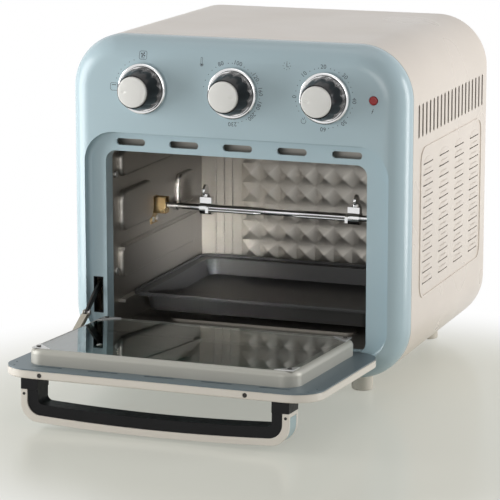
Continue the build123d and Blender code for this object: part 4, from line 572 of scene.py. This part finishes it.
@dataclass
class Knob:
    """One control knob: chrome skirt, black grip, pale cap.

    Its sizes are in millimetres and its mark in degrees. Depths are negative in front of the bezel's face.
    """

    bench: Bench
    name: str
    x: float
    mark: float
    z: float
    face_gap: float = 1.2
    bore: float = 3.6
    skirt_radius: float = 24.0
    skirt_depth: float = 4.0
    dish: float = 1.4
    grip_radius: float = 20.2
    grip_top: float = 15.3
    grip_depth: float = 21.5
    grip_belly: float = 0.9
    grip_edge: float = 0.5
    lobes: int = 12
    lobe_depth: float = 1.3
    lobe_steps: int = 12
    lobe_power: float = 0.7
    well_gap: float = 0.35
    well_draft: float = 0.15
    well_depth: float = 1.5
    cap_radius: float = 14.3
    cap_rise: float = 3.85
    mark_radius: float = 8.0
    mark_width: float = 1.0
    mark_depth: float = 0.8

    @property
    def dish_floor(self) -> float:
        """Depth at which the grip sits in the skirt."""
        return -self.face_gap - self.skirt_depth + self.dish

    @property
    def grip_front(self) -> float:
        """Depth of the grip's front edge."""
        return self.dish_floor - self.grip_depth

    def build(self) -> None:
        """Makes the skirt, grip and cap."""
        self.skirt()
        self.grip()
        self.cap()
        self.bench.dress(self.name + "_shaft", ZINC)

    def seat(self, bm: BMesh) -> None:
        """Moves a knob piece to its place on the bezel."""
        bmesh.ops.translate(bm, vec=(self.x, 0.0, self.z), verts=bm.verts)
        self.bench.to_frame(bm)

    def skirt(self) -> None:
        """Dished chrome ring with a rolled rim."""
        r = self.skirt_radius
        back = -self.face_gap
        front = back - self.skirt_depth
        outline = [(self.bore, back), (r - 0.6, back), (r, back - 0.5), (r - 0.1, back - 1.4)]
        outline += quarter(r - 2.2, front + 2.0, 1.9, 1.7, 6)
        outline += [(r - 3.4, front + 0.55), (self.grip_radius + 0.7, front + 1.15)]
        outline += [(self.bore, front + self.dish), (self.bore, back)]
        bm = bmesh.new()
        lathe(bm, outline)
        self.seat(bm)
        self.bench.place(bm, self.name + "_chrome_ring", self.name, CHROME, (self.name + "_skirt",))

    def grip_ring(self, bm: BMesh, level: float, count: int) -> list[BMVert]:
        """Adds one lobed ring of the grip.

        Args:
            bm: the mesh.
            level: its place, 0 at the skirt and 1 at the front.
            count: its number of corners.

        Returns:
            Its corners.
        """
        bulge = self.grip_belly * math.sin(math.pi * level)
        radius = self.grip_radius + (self.grip_top - self.grip_radius) * level + bulge
        if level in (0.0, 1.0):
            radius -= self.grip_edge
        verts = ring_of(bm, radius, count, self.dish_floor - self.grip_depth * level)
        fade = 1.0 - level
        for vert in verts:
            angle = math.atan2(vert.co.z, vert.co.x)
            wave = abs(math.cos(angle * self.lobes / 2.0)) ** self.lobe_power
            keep = 1.0 - self.lobe_depth * fade * (1.0 - wave) / radius
            vert.co.x *= keep
            vert.co.z *= keep
        return verts

    def grip(self) -> None:
        """Tapered black grip whose lobes fade towards the cap."""
        levels = (0.0, 0.03, 0.15, 0.35, 0.6, 0.85, 0.95, 0.985, 1.0)
        count = self.lobes * self.lobe_steps
        bm = bmesh.new()
        rings = [self.grip_ring(bm, level, count) for level in levels]
        self.bridge(bm, rings)
        well_radius = self.cap_radius + self.well_gap
        well = ring_of(bm, well_radius, count, self.grip_front)
        floor = ring_of(bm, well_radius - self.well_draft, count, self.grip_front + self.well_depth)
        self.bridge(bm, [rings[-1], well, floor])
        bmesh.ops.contextual_create(bm, geom=self.loop_edges(floor))
        bmesh.ops.contextual_create(bm, geom=self.loop_edges(rings[0]))
        bmesh.ops.recalc_face_normals(bm, faces=bm.faces)
        self.seat(bm)
        self.bench.place(bm, self.name + "_black_grip", self.name, BLACK_GLOSS, (self.name,), 40.0)

    def loop_edges(self, verts: list[BMVert]) -> list[BMEdge]:
        """Returns the edges that join a ring's corners."""
        chosen = set(verts)
        near = {edge for vert in verts for edge in vert.link_edges}
        return [edge for edge in near if edge.verts[0] in chosen and edge.verts[1] in chosen]

    def bridge(self, bm: BMesh, rings: list[list[BMVert]]) -> None:
        """Joins rings into a skin."""
        for low, high in zip(rings, rings[1:]):
            bmesh.ops.bridge_loops(bm, edges=self.loop_edges(low) + self.loop_edges(high))

    def cap(self) -> None:
        """Pale domed disc with a dimple at the setting."""
        seat = self.grip_front + self.well_depth
        top = seat - self.cap_rise
        r = self.cap_radius
        outline = [(0.0, seat), (r, seat), (r, seat - 1.6)]
        outline += quarter(r - 1.4, seat - 1.9, 1.4, 1.3, 5)
        outline += [(r * 0.6, top + 0.2), (r * 0.3, top + 0.05), (0.0, top)]
        bm = bmesh.new()
        lathe(bm, outline)
        crown = [edge for edge in bm.edges if min(vert.co.y for vert in edge.verts) < top + 0.55]
        bmesh.ops.subdivide_edges(bm, edges=crown, cuts=3, use_grid_fill=True)
        turn = math.radians(self.mark)
        centre = Vector((self.mark_radius * math.cos(turn), 0.0, self.mark_radius * math.sin(turn)))
        for vert in bm.verts:
            if vert.co.y < top + 0.85:
                away = math.hypot(vert.co.x - centre.x, vert.co.z - centre.z)
                vert.co.y += self.mark_depth * math.exp(-((away / self.mark_width) ** 2))
        self.seat(bm)
        self.bench.place(bm, self.name + "_pale_cap", self.name, CAP_WHITE, (self.name + "_cap",))


@dataclass
class Dial:
    """Printed figures and dots round one knob, in millimetres and in degrees clockwise from 12 o'clock."""

    bench: Bench
    name: str
    x: float
    z: float
    figures: tuple[tuple[str, float], ...]
    dots: tuple[float, ...]
    radius: float = 28.4
    figure_height: float = 3.9
    dot_radius: float = 0.42
    dot_inset: float = 0.8

    def spot(self, angle: float, radius: float) -> tuple[float, float]:
        """Returns the x and z of a clockwise angle from 12 o'clock."""
        turn = math.radians(angle)
        return self.x + radius * math.sin(turn), self.z + radius * math.cos(turn)

    def build(self) -> None:
        """Makes every figure and dot as one printed piece."""
        bm = bmesh.new()
        for text, angle in self.figures:
            x, z = self.spot(angle, self.radius)
            add_text(bm, text, self.figure_height, x, z, -angle)
        for angle in self.dots:
            x, z = self.spot(angle, self.radius - self.dot_inset)
            add_disc(bm, x, z, self.dot_radius)
        emboss(self.bench, bm, self.name)


def add_text(bm: BMesh, text: str, height: float, x: float, z: float, angle: float) -> None:
    """Adds flat lettering that faces the front.

    Args:
        bm: the mesh that takes it.
        text: the figures.
        height: their height in millimetres.
        x: their middle.
        z: their middle.
        angle: their turn in degrees, anticlockwise from the front.
    """
    curve = bpy.data.curves.new("figures", "FONT")
    curve.body = text
    curve.size = height * FONT_PER_HEIGHT
    curve.align_x = "CENTER"
    curve.align_y = "CENTER"
    curve.resolution_u = 3
    curve.space_character = 1.06
    holder = bpy.data.objects.new("figures", curve)
    bpy.context.scene.collection.objects.link(holder)
    bpy.context.view_layer.update()
    mesh = bpy.data.meshes.new_from_object(holder.evaluated_get(bpy.context.evaluated_depsgraph_get()))
    mesh.transform(facing_front(x, 0.0, z) @ Matrix.Rotation(math.radians(angle), 4, "Z"))
    bm.from_mesh(mesh)
    bpy.data.objects.remove(holder)
    bpy.data.curves.remove(curve)
    bpy.data.meshes.remove(mesh)


def add_disc(bm: BMesh, x: float, z: float, radius: float) -> None:
    """Adds a flat dot that faces the front."""
    place = facing_front(x, 0.0, z)
    bmesh.ops.create_circle(bm, cap_ends=True, radius=radius, segments=DOT_CORNERS, matrix=place)


def add_bar(bm: BMesh, x: float, z: float, length: float, width: float, angle: float) -> None:
    """Adds a thin flat stroke that faces the front.

    Args:
        bm: the mesh that takes it.
        x: its middle.
        z: its middle.
        length: in millimetres.
        width: in millimetres.
        angle: its turn in degrees.
    """
    place = facing_front(x, 0.0, z) @ Matrix.Rotation(math.radians(angle), 4, "Z")
    place = place @ Matrix.Diagonal((length / 2, width / 2, 1.0, 1.0))
    bmesh.ops.create_grid(bm, x_segments=1, y_segments=1, size=1.0, matrix=place)


def roll_depth(x: float, z: float) -> float:
    """Works out how far the bezel's rolled edge falls behind its flat face.

    Args:
        x: place across the bezel in millimetres.
        z: place above the table in millimetres.

    Returns:
        The depth in millimetres.
    """
    half_wide, low, high = BEZEL_OUTLINE
    middle = (low + high) / 2
    out_x = abs(x) - (half_wide - BEZEL_CORNER)
    out_z = abs(z - middle) - ((high - low) / 2 - BEZEL_CORNER)
    if out_x > 0.0 and out_z > 0.0:
        inside = BEZEL_CORNER - math.hypot(out_x, out_z)
    else:
        inside = BEZEL_CORNER - max(out_x, out_z)
    past = BEZEL_ROLL - inside
    if past <= 0.0:
        return 0.0
    return BEZEL_ROLL - math.sqrt(max(BEZEL_ROLL ** 2 - past ** 2, 0.0))


def emboss(bench: Bench, bm: BMesh, name: str, lift: float = 0.05) -> None:
    """Lays flat print over the bezel's front and rolled edge, and gives it its thin body.

    Args:
        bench: the bench.
        bm: flat faces at depth 0.
        name: the piece's name.
        lift: the print's thickness in millimetres.
    """
    bmesh.ops.remove_doubles(bm, verts=bm.verts, dist=PRINT_JOIN)
    for _ in range(PRINT_SPLITS):
        long = [edge for edge in bm.edges if edge.calc_length() > PRINT_STEP]
        bmesh.ops.subdivide_edges(bm, edges=long, cuts=1)
    for vert in bm.verts:
        vert.co.y += roll_depth(vert.co.x, vert.co.z)
    made = bmesh.ops.extrude_face_region(bm, geom=list(bm.faces))
    moved = [g for g in made["geom"] if isinstance(g, BMVert)]
    bmesh.ops.translate(bm, vec=(0.0, -lift, 0.0), verts=moved)
    bmesh.ops.recalc_face_normals(bm, faces=bm.faces)
    bench.to_frame(bm)
    bench.place(bm, name, "root", PRINT, (), 20.0, False)


@dataclass
class Controls:
    """The control panel: knobs, dials, symbols and lamp.

    Sizes and places are in millimetres. The place of a symbol counts from the knob or lamp beside it. The
    shares are of a square symbol's size, and corner_in is of half of it.
    """

    bench: Bench
    z: float = 275.2
    pitch: float = 88.9
    lamp_x: float = 134.7
    heat_shift: float = -1.5
    time_shift: float = -0.8
    grill_place: tuple[float, float] = (-29.0, 0.5)
    fan_place: tuple[float, float] = (0.2, 31.0)
    thermometer_place: tuple[float, float] = (-30.5, 27.4)
    clock_place: tuple[float, float] = (-36.7, 27.7)
    stay_on_place: tuple[float, float] = (-20.5, -22.0)
    power_place: tuple[float, float] = (-0.8, -9.7)
    stroke: float = 0.4
    side_share: float = 0.72
    corner_share: float = 0.2
    corner_in: float = 0.86

    def build(self) -> None:
        """Makes the panel's pieces."""
        bench = self.bench
        Knob(bench, "mode_knob", -self.pitch, 180.0, self.z).build()
        Knob(bench, "thermostat_knob", 0.0, 0.0, self.z).build()
        Knob(bench, "timer_knob", self.pitch, 180.0, self.z).build()
        Dial(bench, "thermostat_figures", self.heat_shift, self.z, HEAT_FIGURES, HEAT_DOTS).build()
        Dial(bench, "timer_figures", self.pitch + self.time_shift, self.z, TIME_FIGURES, TIME_DOTS).build()
        Dial(bench, "mode_marks", -self.pitch, self.z, (), MODE_DOTS).build()
        self.symbols()
        bench.refine("indicator_lens", "root", LENS_RED, smooth=50.0)
        for node in ("indicator_lamp", "mode_switch", "thermostat", "timer"):
            bench.dress(node, NATURAL)

    def square(self, bm: BMesh, x: float, z: float, size: float) -> None:
        """Adds a square outline with cut corners.

        Args:
            bm: the mesh that takes it.
            x: its middle.
            z: its middle.
            size: its height in millimetres.
        """
        half = size / 2
        for turn, dx, dz in ((0, 0, half), (0, 0, -half), (90, half, 0), (90, -half, 0)):
            add_bar(bm, x + dx, z + dz, size * self.side_share, self.stroke, turn)
        near, cut = half * self.corner_in, size * self.corner_share
        for sx in (-1, 1):
            for sz in (-1, 1):
                add_bar(bm, x + sx * near, z + sz * near, cut, self.stroke, -45.0 * sx * sz)

    def arc(self, bm: BMesh, x: float, z: float, radius: float, start: float, sweep: float) -> None:
        """Adds a thin round stroke made of short bars.

        Args:
            bm: the mesh that takes it.
            x: its centre.
            z: its centre.
            radius: in millimetres.
            start: its first angle in degrees.
            sweep: how far it runs in degrees.
        """
        part, overlap, width = 20.0, 1.15, 0.38
        steps = max(4, round(sweep / part))
        length = math.radians(sweep) * radius / steps * overlap
        for i in range(steps):
            turn = start + sweep * (i + 0.5) / steps
            spot = math.radians(turn)
            add_bar(bm, x + radius * math.cos(spot), z + radius * math.sin(spot), length, width, turn + 90.0)

    def symbols(self) -> None:
        """Grill, fan, thermometer, clock, stay-on and power symbols."""
        marks = (
            (self.grill_mark, -self.pitch, self.grill_place),
            (self.fan_mark, -self.pitch, self.fan_place),
            (self.thermometer_mark, 0.0, self.thermometer_place),
            (self.clock_mark, self.pitch, self.clock_place),
            (self.stay_on_mark, self.pitch, self.stay_on_place),
            (self.power_mark, self.lamp_x, self.power_place),
        )
        bm = bmesh.new()
        for draw, beside, (dx, dz) in marks:
            draw(bm, beside + dx, self.z + dz)
        emboss(self.bench, bm, "panel_symbols")

    def grill_mark(self, bm: BMesh, x: float, z: float) -> None:
        """Square with one heater stroke near its top."""
        self.square(bm, x, z, 7.0)
        add_bar(bm, x, z + 1.7, 4.4, 0.7, 0.0)

    def fan_mark(self, bm: BMesh, x: float, z: float) -> None:
        """Square with a four-blade fan over a short stroke."""
        self.square(bm, x, z, 7.4)
        hub_z = z + 0.5
        for quarter_turn in (45.0, 135.0, 225.0, 315.0):
            turn = math.radians(quarter_turn)
            cos, sin = math.cos(turn), math.sin(turn)
            add_bar(bm, x + 1.1 * cos, hub_z + 1.1 * sin, 2.0, 0.6, quarter_turn)
            add_disc(bm, x + 1.7 * cos - 0.4 * sin, hub_z + 1.7 * sin + 0.4 * cos, 0.72)
        add_bar(bm, x, z - 2.4, 3.4, 0.45, 0.0)

    def thermometer_mark(self, bm: BMesh, x: float, z: float) -> None:
        """Open tube over a filled bulb."""
        tube, bulb_z = 0.75, z - 2.4
        for side in (-1, 1):
            add_bar(bm, x + side * tube, z + 1.1, 4.6, 0.32, 90.0)
        self.arc(bm, x, z + 3.4, tube, 0.0, 180.0)
        self.arc(bm, x, bulb_z, 1.4, 125.0, 290.0)
        add_disc(bm, x, bulb_z, 0.95)

    def clock_mark(self, bm: BMesh, x: float, z: float) -> None:
        """Two clock hands within a ring of dots."""
        add_bar(bm, x, z + 0.9, 3.6, 0.5, 90.0)
        add_bar(bm, x + 1.0, z - 0.8, 2.2, 0.5, 0.0)
        ring, dots = 3.5, 8
        for dot in range(dots):
            turn = 2.0 * math.pi * dot / dots
            add_disc(bm, x + ring * math.cos(turn), z + ring * math.sin(turn), 0.36)

    def stay_on_mark(self, bm: BMesh, x: float, z: float) -> None:
        """Open ring with a flame's two strokes."""
        self.arc(bm, x, z, 2.3, 140.0, 260.0)
        add_bar(bm, x - 0.7, z + 2.2, 2.4, self.stroke, -50.0)
        add_bar(bm, x + 0.8, z + 2.6, 2.0, self.stroke, 70.0)

    def power_mark(self, bm: BMesh, x: float, z: float) -> None:
        """Zigzag of three strokes."""
        add_bar(bm, x + 0.35, z + 1.1, 2.4, 0.5, 65.0)
        add_bar(bm, x, z, 1.6, 0.45, 0.0)
        add_bar(bm, x - 0.35, z - 1.1, 2.4, 0.5, 65.0)


@dataclass
class Cabinet:
    """Bezel, painted sleeve, base, rear and feet, with the louvres' sizes in millimetres."""

    bench: Bench
    width: float = 330.0
    louvre_columns: int = 4
    louvre_pitch: float = 52.5
    louvre_start: float = 59.0
    louvre_length: float = 31.0
    louvre_rows: int = 12
    louvre_row_pitch: float = 10.2
    louvre_low: float = 97.9
    louvre_rise: float = 5.4
    louvre_bulge: float = 0.78
    louvre_root: float = 0.2
    row_margin: float = 0.5

    def build(self) -> None:
        """Makes the cabinet's pieces."""
        bench = self.bench
        bench.refine("front_bezel", "root", BEZEL_BLUE, smooth=34.0)
        bench.refine("cabinet_sleeve", "root", CREAM_ENAMEL, smooth=34.0)
        self.hoods("louvre_hoods_right", 1)
        self.hoods("louvre_hoods_left", -1)
        bench.refine("rear_panel", "root", CREAM_ENAMEL, smooth=34.0)
        bench.refine("base_plate", "root", ZINC)
        bench.refine("feet", "root", FOOT_PLASTIC)
        bench.refine("case_screws", "root", ZINC, bevel=0.25)
        bench.refine("cord_gland", "root", BLACK_SATIN, bevel=0.3)
        bench.dress("terminal_block", NATURAL)

    def hoods(self, name: str, side: int) -> None:
        """Pressed hoods over the louvre slits of one side.

        Args:
            name: the piece's name.
            side: 1 for the right side, -1 for the left.
        """
        bm = bmesh.new()
        half = self.louvre_length / 2
        rows = [self.louvre_low + row * self.louvre_row_pitch for row in range(self.louvre_rows)]
        for column in range(self.louvre_columns):
            y = self.louvre_start + column * self.louvre_pitch + half
            for z in rows:
                shape = Matrix.Translation((side * self.width / 2, y, z))
                shape = shape @ Matrix.Diagonal((self.louvre_bulge, half, self.louvre_rise, 1.0))
                bmesh.ops.create_uvsphere(bm, u_segments=20, v_segments=12, radius=1.0, matrix=shape)
        for z in rows:
            self.trim(bm, z)
        flat = side * (self.width / 2 - self.louvre_root)
        bmesh.ops.bisect_plane(
            bm, geom=bm.verts[:] + bm.edges[:] + bm.faces[:], plane_co=(flat, 0.0, 0.0),
            plane_no=(side, 0.0, 0.0), clear_inner=True,
        )
        self.bench.to_frame(bm)
        self.bench.place(bm, name, "root", CREAM_ENAMEL, (), 40.0, False)

    def trim(self, bm: BMesh, z: float) -> None:
        """Cuts the lower half off one row of hoods.

        Args:
            bm: the mesh.
            z: the row's height.
        """
        reach = self.louvre_rise + self.row_margin
        chosen = [face for face in bm.faces if abs(face.calc_center_median().z - z) < reach]
        edges = {edge for face in chosen for edge in face.edges}
        verts = {vert for face in chosen for vert in face.verts}
        bmesh.ops.bisect_plane(
            bm, geom=list(verts) + list(edges) + chosen, plane_co=(0.0, 0.0, z), plane_no=(0.0, 0.0, 1.0),
            clear_inner=True,
        )


@dataclass
class Chamber:
    """Cooking chamber with its pressed walls, heater, fan and guard, in millimetres.

    The field of diamonds keeps a margin at each side of the back wall.
    """

    bench: Bench
    left: float = -132.9
    right: float = 126.6
    back: float = 262.0
    floor: float = 37.0
    top: float = 222.0
    margin_left: float = 44.0
    margin_right: float = 6.0
    margin_low: float = 26.0
    margin_top: float = 8.0
    cell: float = 20.0
    cell_height: float = 3.2
    cell_ridge: float = 1.2
    lift: float = 0.05

    def build(self) -> None:
        """Makes the chamber's pieces."""
        bench = self.bench
        for node in ("chamber_left_wall", "chamber_right_wall", "chamber_floor"):
            bench.refine(node, "root", CHAMBER_STEEL, smooth=30.0)
        self.diamonds()
        bench.refine("chamber_roof", "root", CHAMBER_STEEL)
        bench.refine("fan_guard", "root", CHAMBER_STEEL, smooth=40.0)
        bench.refine("heater_coil", "root", HEAT_TINT, smooth=60.0)
        bench.refine("fan_impeller", "fan", ZINC)
        bench.dress("fan_shaft", ZINC)
        bench.refine("fan_motor", "root", ZINC)
        bench.refine("gear_motor", "root", ZINC)

    def diamonds(self) -> None:
        """Field of pressed diamonds on the back wall."""
        start = self.left + self.margin_left
        low = self.floor + self.margin_low
        columns = int((self.right - self.margin_right - start) / self.cell)
        rows = int((self.top - self.margin_top - low) / self.cell)
        half_wide = columns * self.cell / 2
        half_tall = rows * self.cell / 2
        place = facing_front(start + half_wide, self.back - self.lift, low + half_tall)
        place = place @ Matrix.Diagonal((half_wide, half_tall, 1.0, 1.0))
        bm = bmesh.new()
        bmesh.ops.create_grid(bm, x_segments=columns, y_segments=rows, size=1.0, matrix=place)
        tips = bmesh.ops.poke(bm, faces=bm.faces, offset=0.0)["verts"]
        bmesh.ops.translate(bm, vec=(0.0, -self.cell_height, 0.0), verts=tips)
        bmesh.ops.bevel(
            bm, geom=[edge for edge in bm.edges if edge.verts[0] in tips or edge.verts[1] in tips],
            offset=self.cell_ridge, offset_type="OFFSET", segments=2, profile=0.5, affect="EDGES",
            clamp_overlap=True, material=-1,
        )
        self.bench.to_frame(bm)
        self.bench.place(bm, "back_wall_diamonds", "root", CHAMBER_STEEL, (), 24.0, False)


@dataclass
class Cookware:
    """Spit with its forks, drive and bracket, and the dark baking tray under it."""

    bench: Bench

    def build(self) -> None:
        """Makes the cookware's pieces."""
        bench = self.bench
        bench.refine("spit_bracket", "root", BRONZE, bevel=0.2)
        bench.refine("spit_rod", "spit", CHROME, smooth=40.0)
        bench.refine("drive_socket", "spit", ZINC, bevel=0.3)
        for side in ("left", "right"):
            bench.refine(side + "_fork", side + "_fork", CHROME, smooth=40.0)
            bench.refine(side + "_thumbscrew", side + "_fork", CHROME, bevel=0.3)
        bench.refine("baking_tray", "root", NON_STICK, bevel=0.5, smooth=40.0)


@dataclass
class Door:
    """Drop-down door with panes, raised frame, handle, hinges and stay.

    The cover's screws are placed in millimetres from the hinge line, in the door's own directions.
    """

    bench: Bench
    hinge_z: float = 32.4
    open_tilt: float = 2.7
    screw_side: float = 121.9
    screw_out: float = 198.3
    screw_up: float = -11.5
    screw_steps: int = 24

    def build(self) -> None:
        """Makes the door's pieces."""
        bench = self.bench
        bench.refine("door_shell", "door", CREAM_PLASTIC, smooth=34.0)
        bench.refine("door_face", "door", BEZEL_BLUE, bevel=0.3)
        # The inner plate's finish holds painted shade: its blue is darkened for the dark chamber it mirrors.
        bench.refine("door_plate", "door", PLATE_BLUE_WITH_PAINTED_SHADE, bevel=0.25)
        bench.refine("door_frame", "door", GREY_FRAME, smooth=34.0)
        bench.refine("inner_glass", "door", PANE, bevel=0.3)
        bench.refine("outer_glass", "door", PANE, bevel=0.3)
        bench.refine("corner_clips", "door", ZINC, bevel=0.15)
        bench.refine("door_screws", "door", DARK_STEEL, bevel=0.25)
        bench.refine("handle_core", "door", BLACK_SATIN, bevel=1.2)
        bench.refine("handle_cover", "door", CREAM_PLASTIC, bevel=0.6)
        bench.refine("handle_inlay", "door", BLUE_TRIM, bevel=0.2)
        self.cover_screws()
        bench.refine("stay_strut", "door", STRUT_STEEL, bevel=0.15)
        bench.refine("stay_rivet", "door", ZINC, bevel=0.2)
        bench.refine("stay_arm", "stay_arm", ARM_STEEL, bevel=0.3)
        bench.refine("stay_bush", "root", BLACK_SATIN)
        bench.refine("hinge_brackets", "root", ZINC, bevel=0.2)
        bench.dress("hinge_pins", ZINC)

    def cover_screws(self) -> None:
        """Small dark screws near the top ends of the handle's pale strip."""
        hinge = Matrix.Translation((0.0, 0.0, self.hinge_z))
        hinge = hinge @ Matrix.Rotation(math.radians(-self.open_tilt), 4, "X")
        bm = bmesh.new()
        for side in (-1, 1):
            head = bmesh.new()
            lathe(head, SCREW_HEAD, self.screw_steps)
            place = hinge @ Matrix.Translation((side * self.screw_side, -self.screw_out, self.screw_up))
            bmesh.ops.transform(head, matrix=place, verts=head.verts)
            mesh = bpy.data.meshes.new("cover_screw")
            head.to_mesh(mesh)
            head.free()
            bm.from_mesh(mesh)
            bpy.data.meshes.remove(mesh)
        self.bench.to_frame(bm)
        self.bench.place(bm, "handle_cover_screws", "door", DARK_STEEL)


@dataclass(frozen=True)
class Lamp:
    """A soft rectangular lamp that the camera doesn't see.

    Attributes:
        name: what the lamp is called.
        place: where it is, in metres.
        size: its width and height in metres.
        power: in watts.
        aim: the point it looks at, in metres.
        spread: the angle in degrees that its light fans out by.
    """

    name: str
    place: Triple
    size: tuple[float, float]
    power: float
    aim: Triple
    spread: float = 180.0

    def light(self) -> None:
        """Puts the lamp in the scene."""
        light = bpy.data.lights.new(self.name, "AREA")
        light.shape = "RECTANGLE"
        light.size, light.size_y = self.size
        light.energy = self.power
        light.spread = math.radians(self.spread)
        holder = bpy.data.objects.new(self.name, light)
        holder.location = self.place
        holder.rotation_euler = (Vector(self.aim) - Vector(self.place)).to_track_quat("-Z", "Y").to_euler()
        holder.visible_camera = False
        bpy.context.scene.collection.objects.link(holder)


# Large soft boxes at the left, the right, above and in front, and a narrow one that reaches into the mouth
LAMPS = (
    Lamp("left_box", place=(-0.78, -0.3, 0.12), size=(0.5, 0.9), power=7.5, aim=(-0.16, -0.04, 0.16)),
    Lamp("right_box", place=(1.45, 0.57, 0.25), size=(0.56, 1.4), power=16.0, aim=(0.1, 0.0, 0.2)),
    Lamp("top_box", place=(0.1, 0.1, 2.2), size=(1.5, 1.5), power=6.0, aim=(0.0, 0.0, 0.1)),
    Lamp("front_box", place=(0.2, -2.3, 0.5), size=(1.0, 0.8), power=9.0, aim=(0.0, -0.1, 0.05)),
    Lamp(
        "mouth_box", place=(1.3, -2.0, 0.42), size=(0.09, 0.035), power=0.15, aim=(0.0, -0.03, 0.125),
        spread=3.4,
    ),
)


@dataclass
class Studio:
    """Floor, light and camera, in metres.

    Between the two distances of fade from its middle, the floor turns into the white background.
    """

    bench: Bench
    floor_colour: tuple[int, int, int] = (218, 218, 208)
    floor_middle: Triple = (0.1, -0.12, 0.0)
    floor_drop: float = 0.0005
    floor_radius: float = 0.62
    floor_roughness: float = 0.2
    fade: tuple[float, float] = (0.24, 0.46)
    glow: float = 0.5
    world_colour: tuple[float, float, float, float] = (1.0, 0.99, 0.97, 1.0)
    world_strength: float = 0.27

    def build(self) -> None:
        """Sets up the studio."""
        self.floor()
        self.world()
        for lamp in LAMPS:
            lamp.light()
        self.camera()

    def floor(self) -> None:
        """Pale round table."""
        bm = bmesh.new()
        place = Matrix.Translation(self.floor_middle)
        bmesh.ops.create_circle(bm, cap_ends=True, radius=self.floor_radius, segments=96, matrix=place)
        mesh = bpy.data.meshes.new("studio_floor")
        bm.to_mesh(mesh)
        bm.free()
        mesh.materials.append(self.floor_finish())
        floor = bpy.data.objects.new("studio_floor", mesh)
        floor.location.z = -self.floor_drop
        bpy.context.scene.collection.objects.link(floor)

    def floor_finish(self) -> Material:
        """Returns the table's finish, which fades into the white background where it is seen."""
        made = bpy.data.materials.new("studio_floor")
        made.use_nodes = True
        tree = made.node_tree
        tree.nodes.clear()
        place = add_node(tree, "TexCoord").outputs["Object"]
        away = add_node(tree, "VectorMath", {0: place, 1: self.floor_middle}, operation="DISTANCE")
        inputs = {
            "Value": away.outputs["Value"], "From Min": self.fade[0], "From Max": self.fade[1],
            "To Min": self.glow,
        }
        fade = add_node(tree, "MapRange", inputs, interpolation_type="SMOOTHSTEP").outputs["Result"]
        whiter = add_node(tree, "MapRange", {"Value": fade, "From Min": self.glow}).outputs["Result"]
        table = linear(self.floor_colour)
        inputs = {"Factor": whiter, MIX_FIRST: table, MIX_SECOND: WHITE}
        tone = add_node(tree, "Mix", inputs, data_type="RGBA").outputs[MIX_RESULT]
        skin = add_node(tree, "BsdfPrincipled", {"Base Color": table, "Roughness": self.floor_roughness})
        shine = add_node(tree, "Emission", {"Color": tone})
        share = add_node(tree, "Math", {0: fade, 1: self.seen_rays(tree)}, operation="MULTIPLY")
        inputs = {"Fac": share.outputs["Value"], 1: skin.outputs["BSDF"], 2: shine.outputs["Emission"]}
        mix = add_node(tree, "MixShader", inputs)
        add_node(tree, "OutputMaterial", {"Surface": mix.outputs["Shader"]})
        return made

    def seen_rays(self, tree: NodeTree) -> NodeSocket:
        """Returns a socket that is 1 for what is seen directly, mirrored or through glass."""
        ray = add_node(tree, "LightPath")
        seen = ray.outputs["Is Camera Ray"]
        for name in ("Is Glossy Ray", "Is Transmission Ray"):
            seen = add_node(tree, "Math", {0: seen, 1: ray.outputs[name]}, operation="MAXIMUM").outputs["Value"]
        return seen

    def world(self) -> None:
        """White background with a plain level of light."""
        world = bpy.data.worlds.new("studio")
        bpy.context.scene.world = world
        world.use_nodes = True
        tree = world.node_tree
        tree.nodes.clear()
        lit = add_node(tree, "Background", {"Color": self.world_colour, "Strength": self.world_strength})
        seen = add_node(tree, "Background", {"Color": WHITE})
        inputs = {"Fac": self.seen_rays(tree), 1: lit.outputs["Background"], 2: seen.outputs["Background"]}
        mix = add_node(tree, "MixShader", inputs)
        add_node(tree, "OutputWorld", {"Surface": mix.outputs["Shader"]})

    def camera(self) -> None:
        """Camera at the picture's angle."""
        edge = Vector((0.0, self.bench.front, 0.0))
        place = Vector(CAMERA_PLACE) * MM + edge
        target = Vector(CAMERA_TARGET) * MM + edge
        lens = bpy.data.cameras.new("camera")
        lens.sensor_width = SENSOR_MM
        lens.lens = FOCAL_PIXELS * SENSOR_MM / PICTURE_PIXELS
        lens.clip_end = 50.0
        holder = bpy.data.objects.new("camera", lens)
        holder.location = place
        holder.rotation_euler = (target - place).to_track_quat("-Z", "Y").to_euler()
        bpy.context.scene.collection.objects.link(holder)
        bpy.context.scene.camera = holder


def main() -> None:
    """Builds every sub-assembly."""
    logging.basicConfig(level=logging.INFO, format="%(name)s %(message)s")
    bpy.context.scene.view_settings.view_transform = "Standard"
    bench = Bench()
    for kind in (Cabinet, Controls, Chamber, Cookware, Door, Studio):
        kind(bench).build()
        LOG.info("%s done", kind.__name__)


if __name__ == "__main__":
    main()
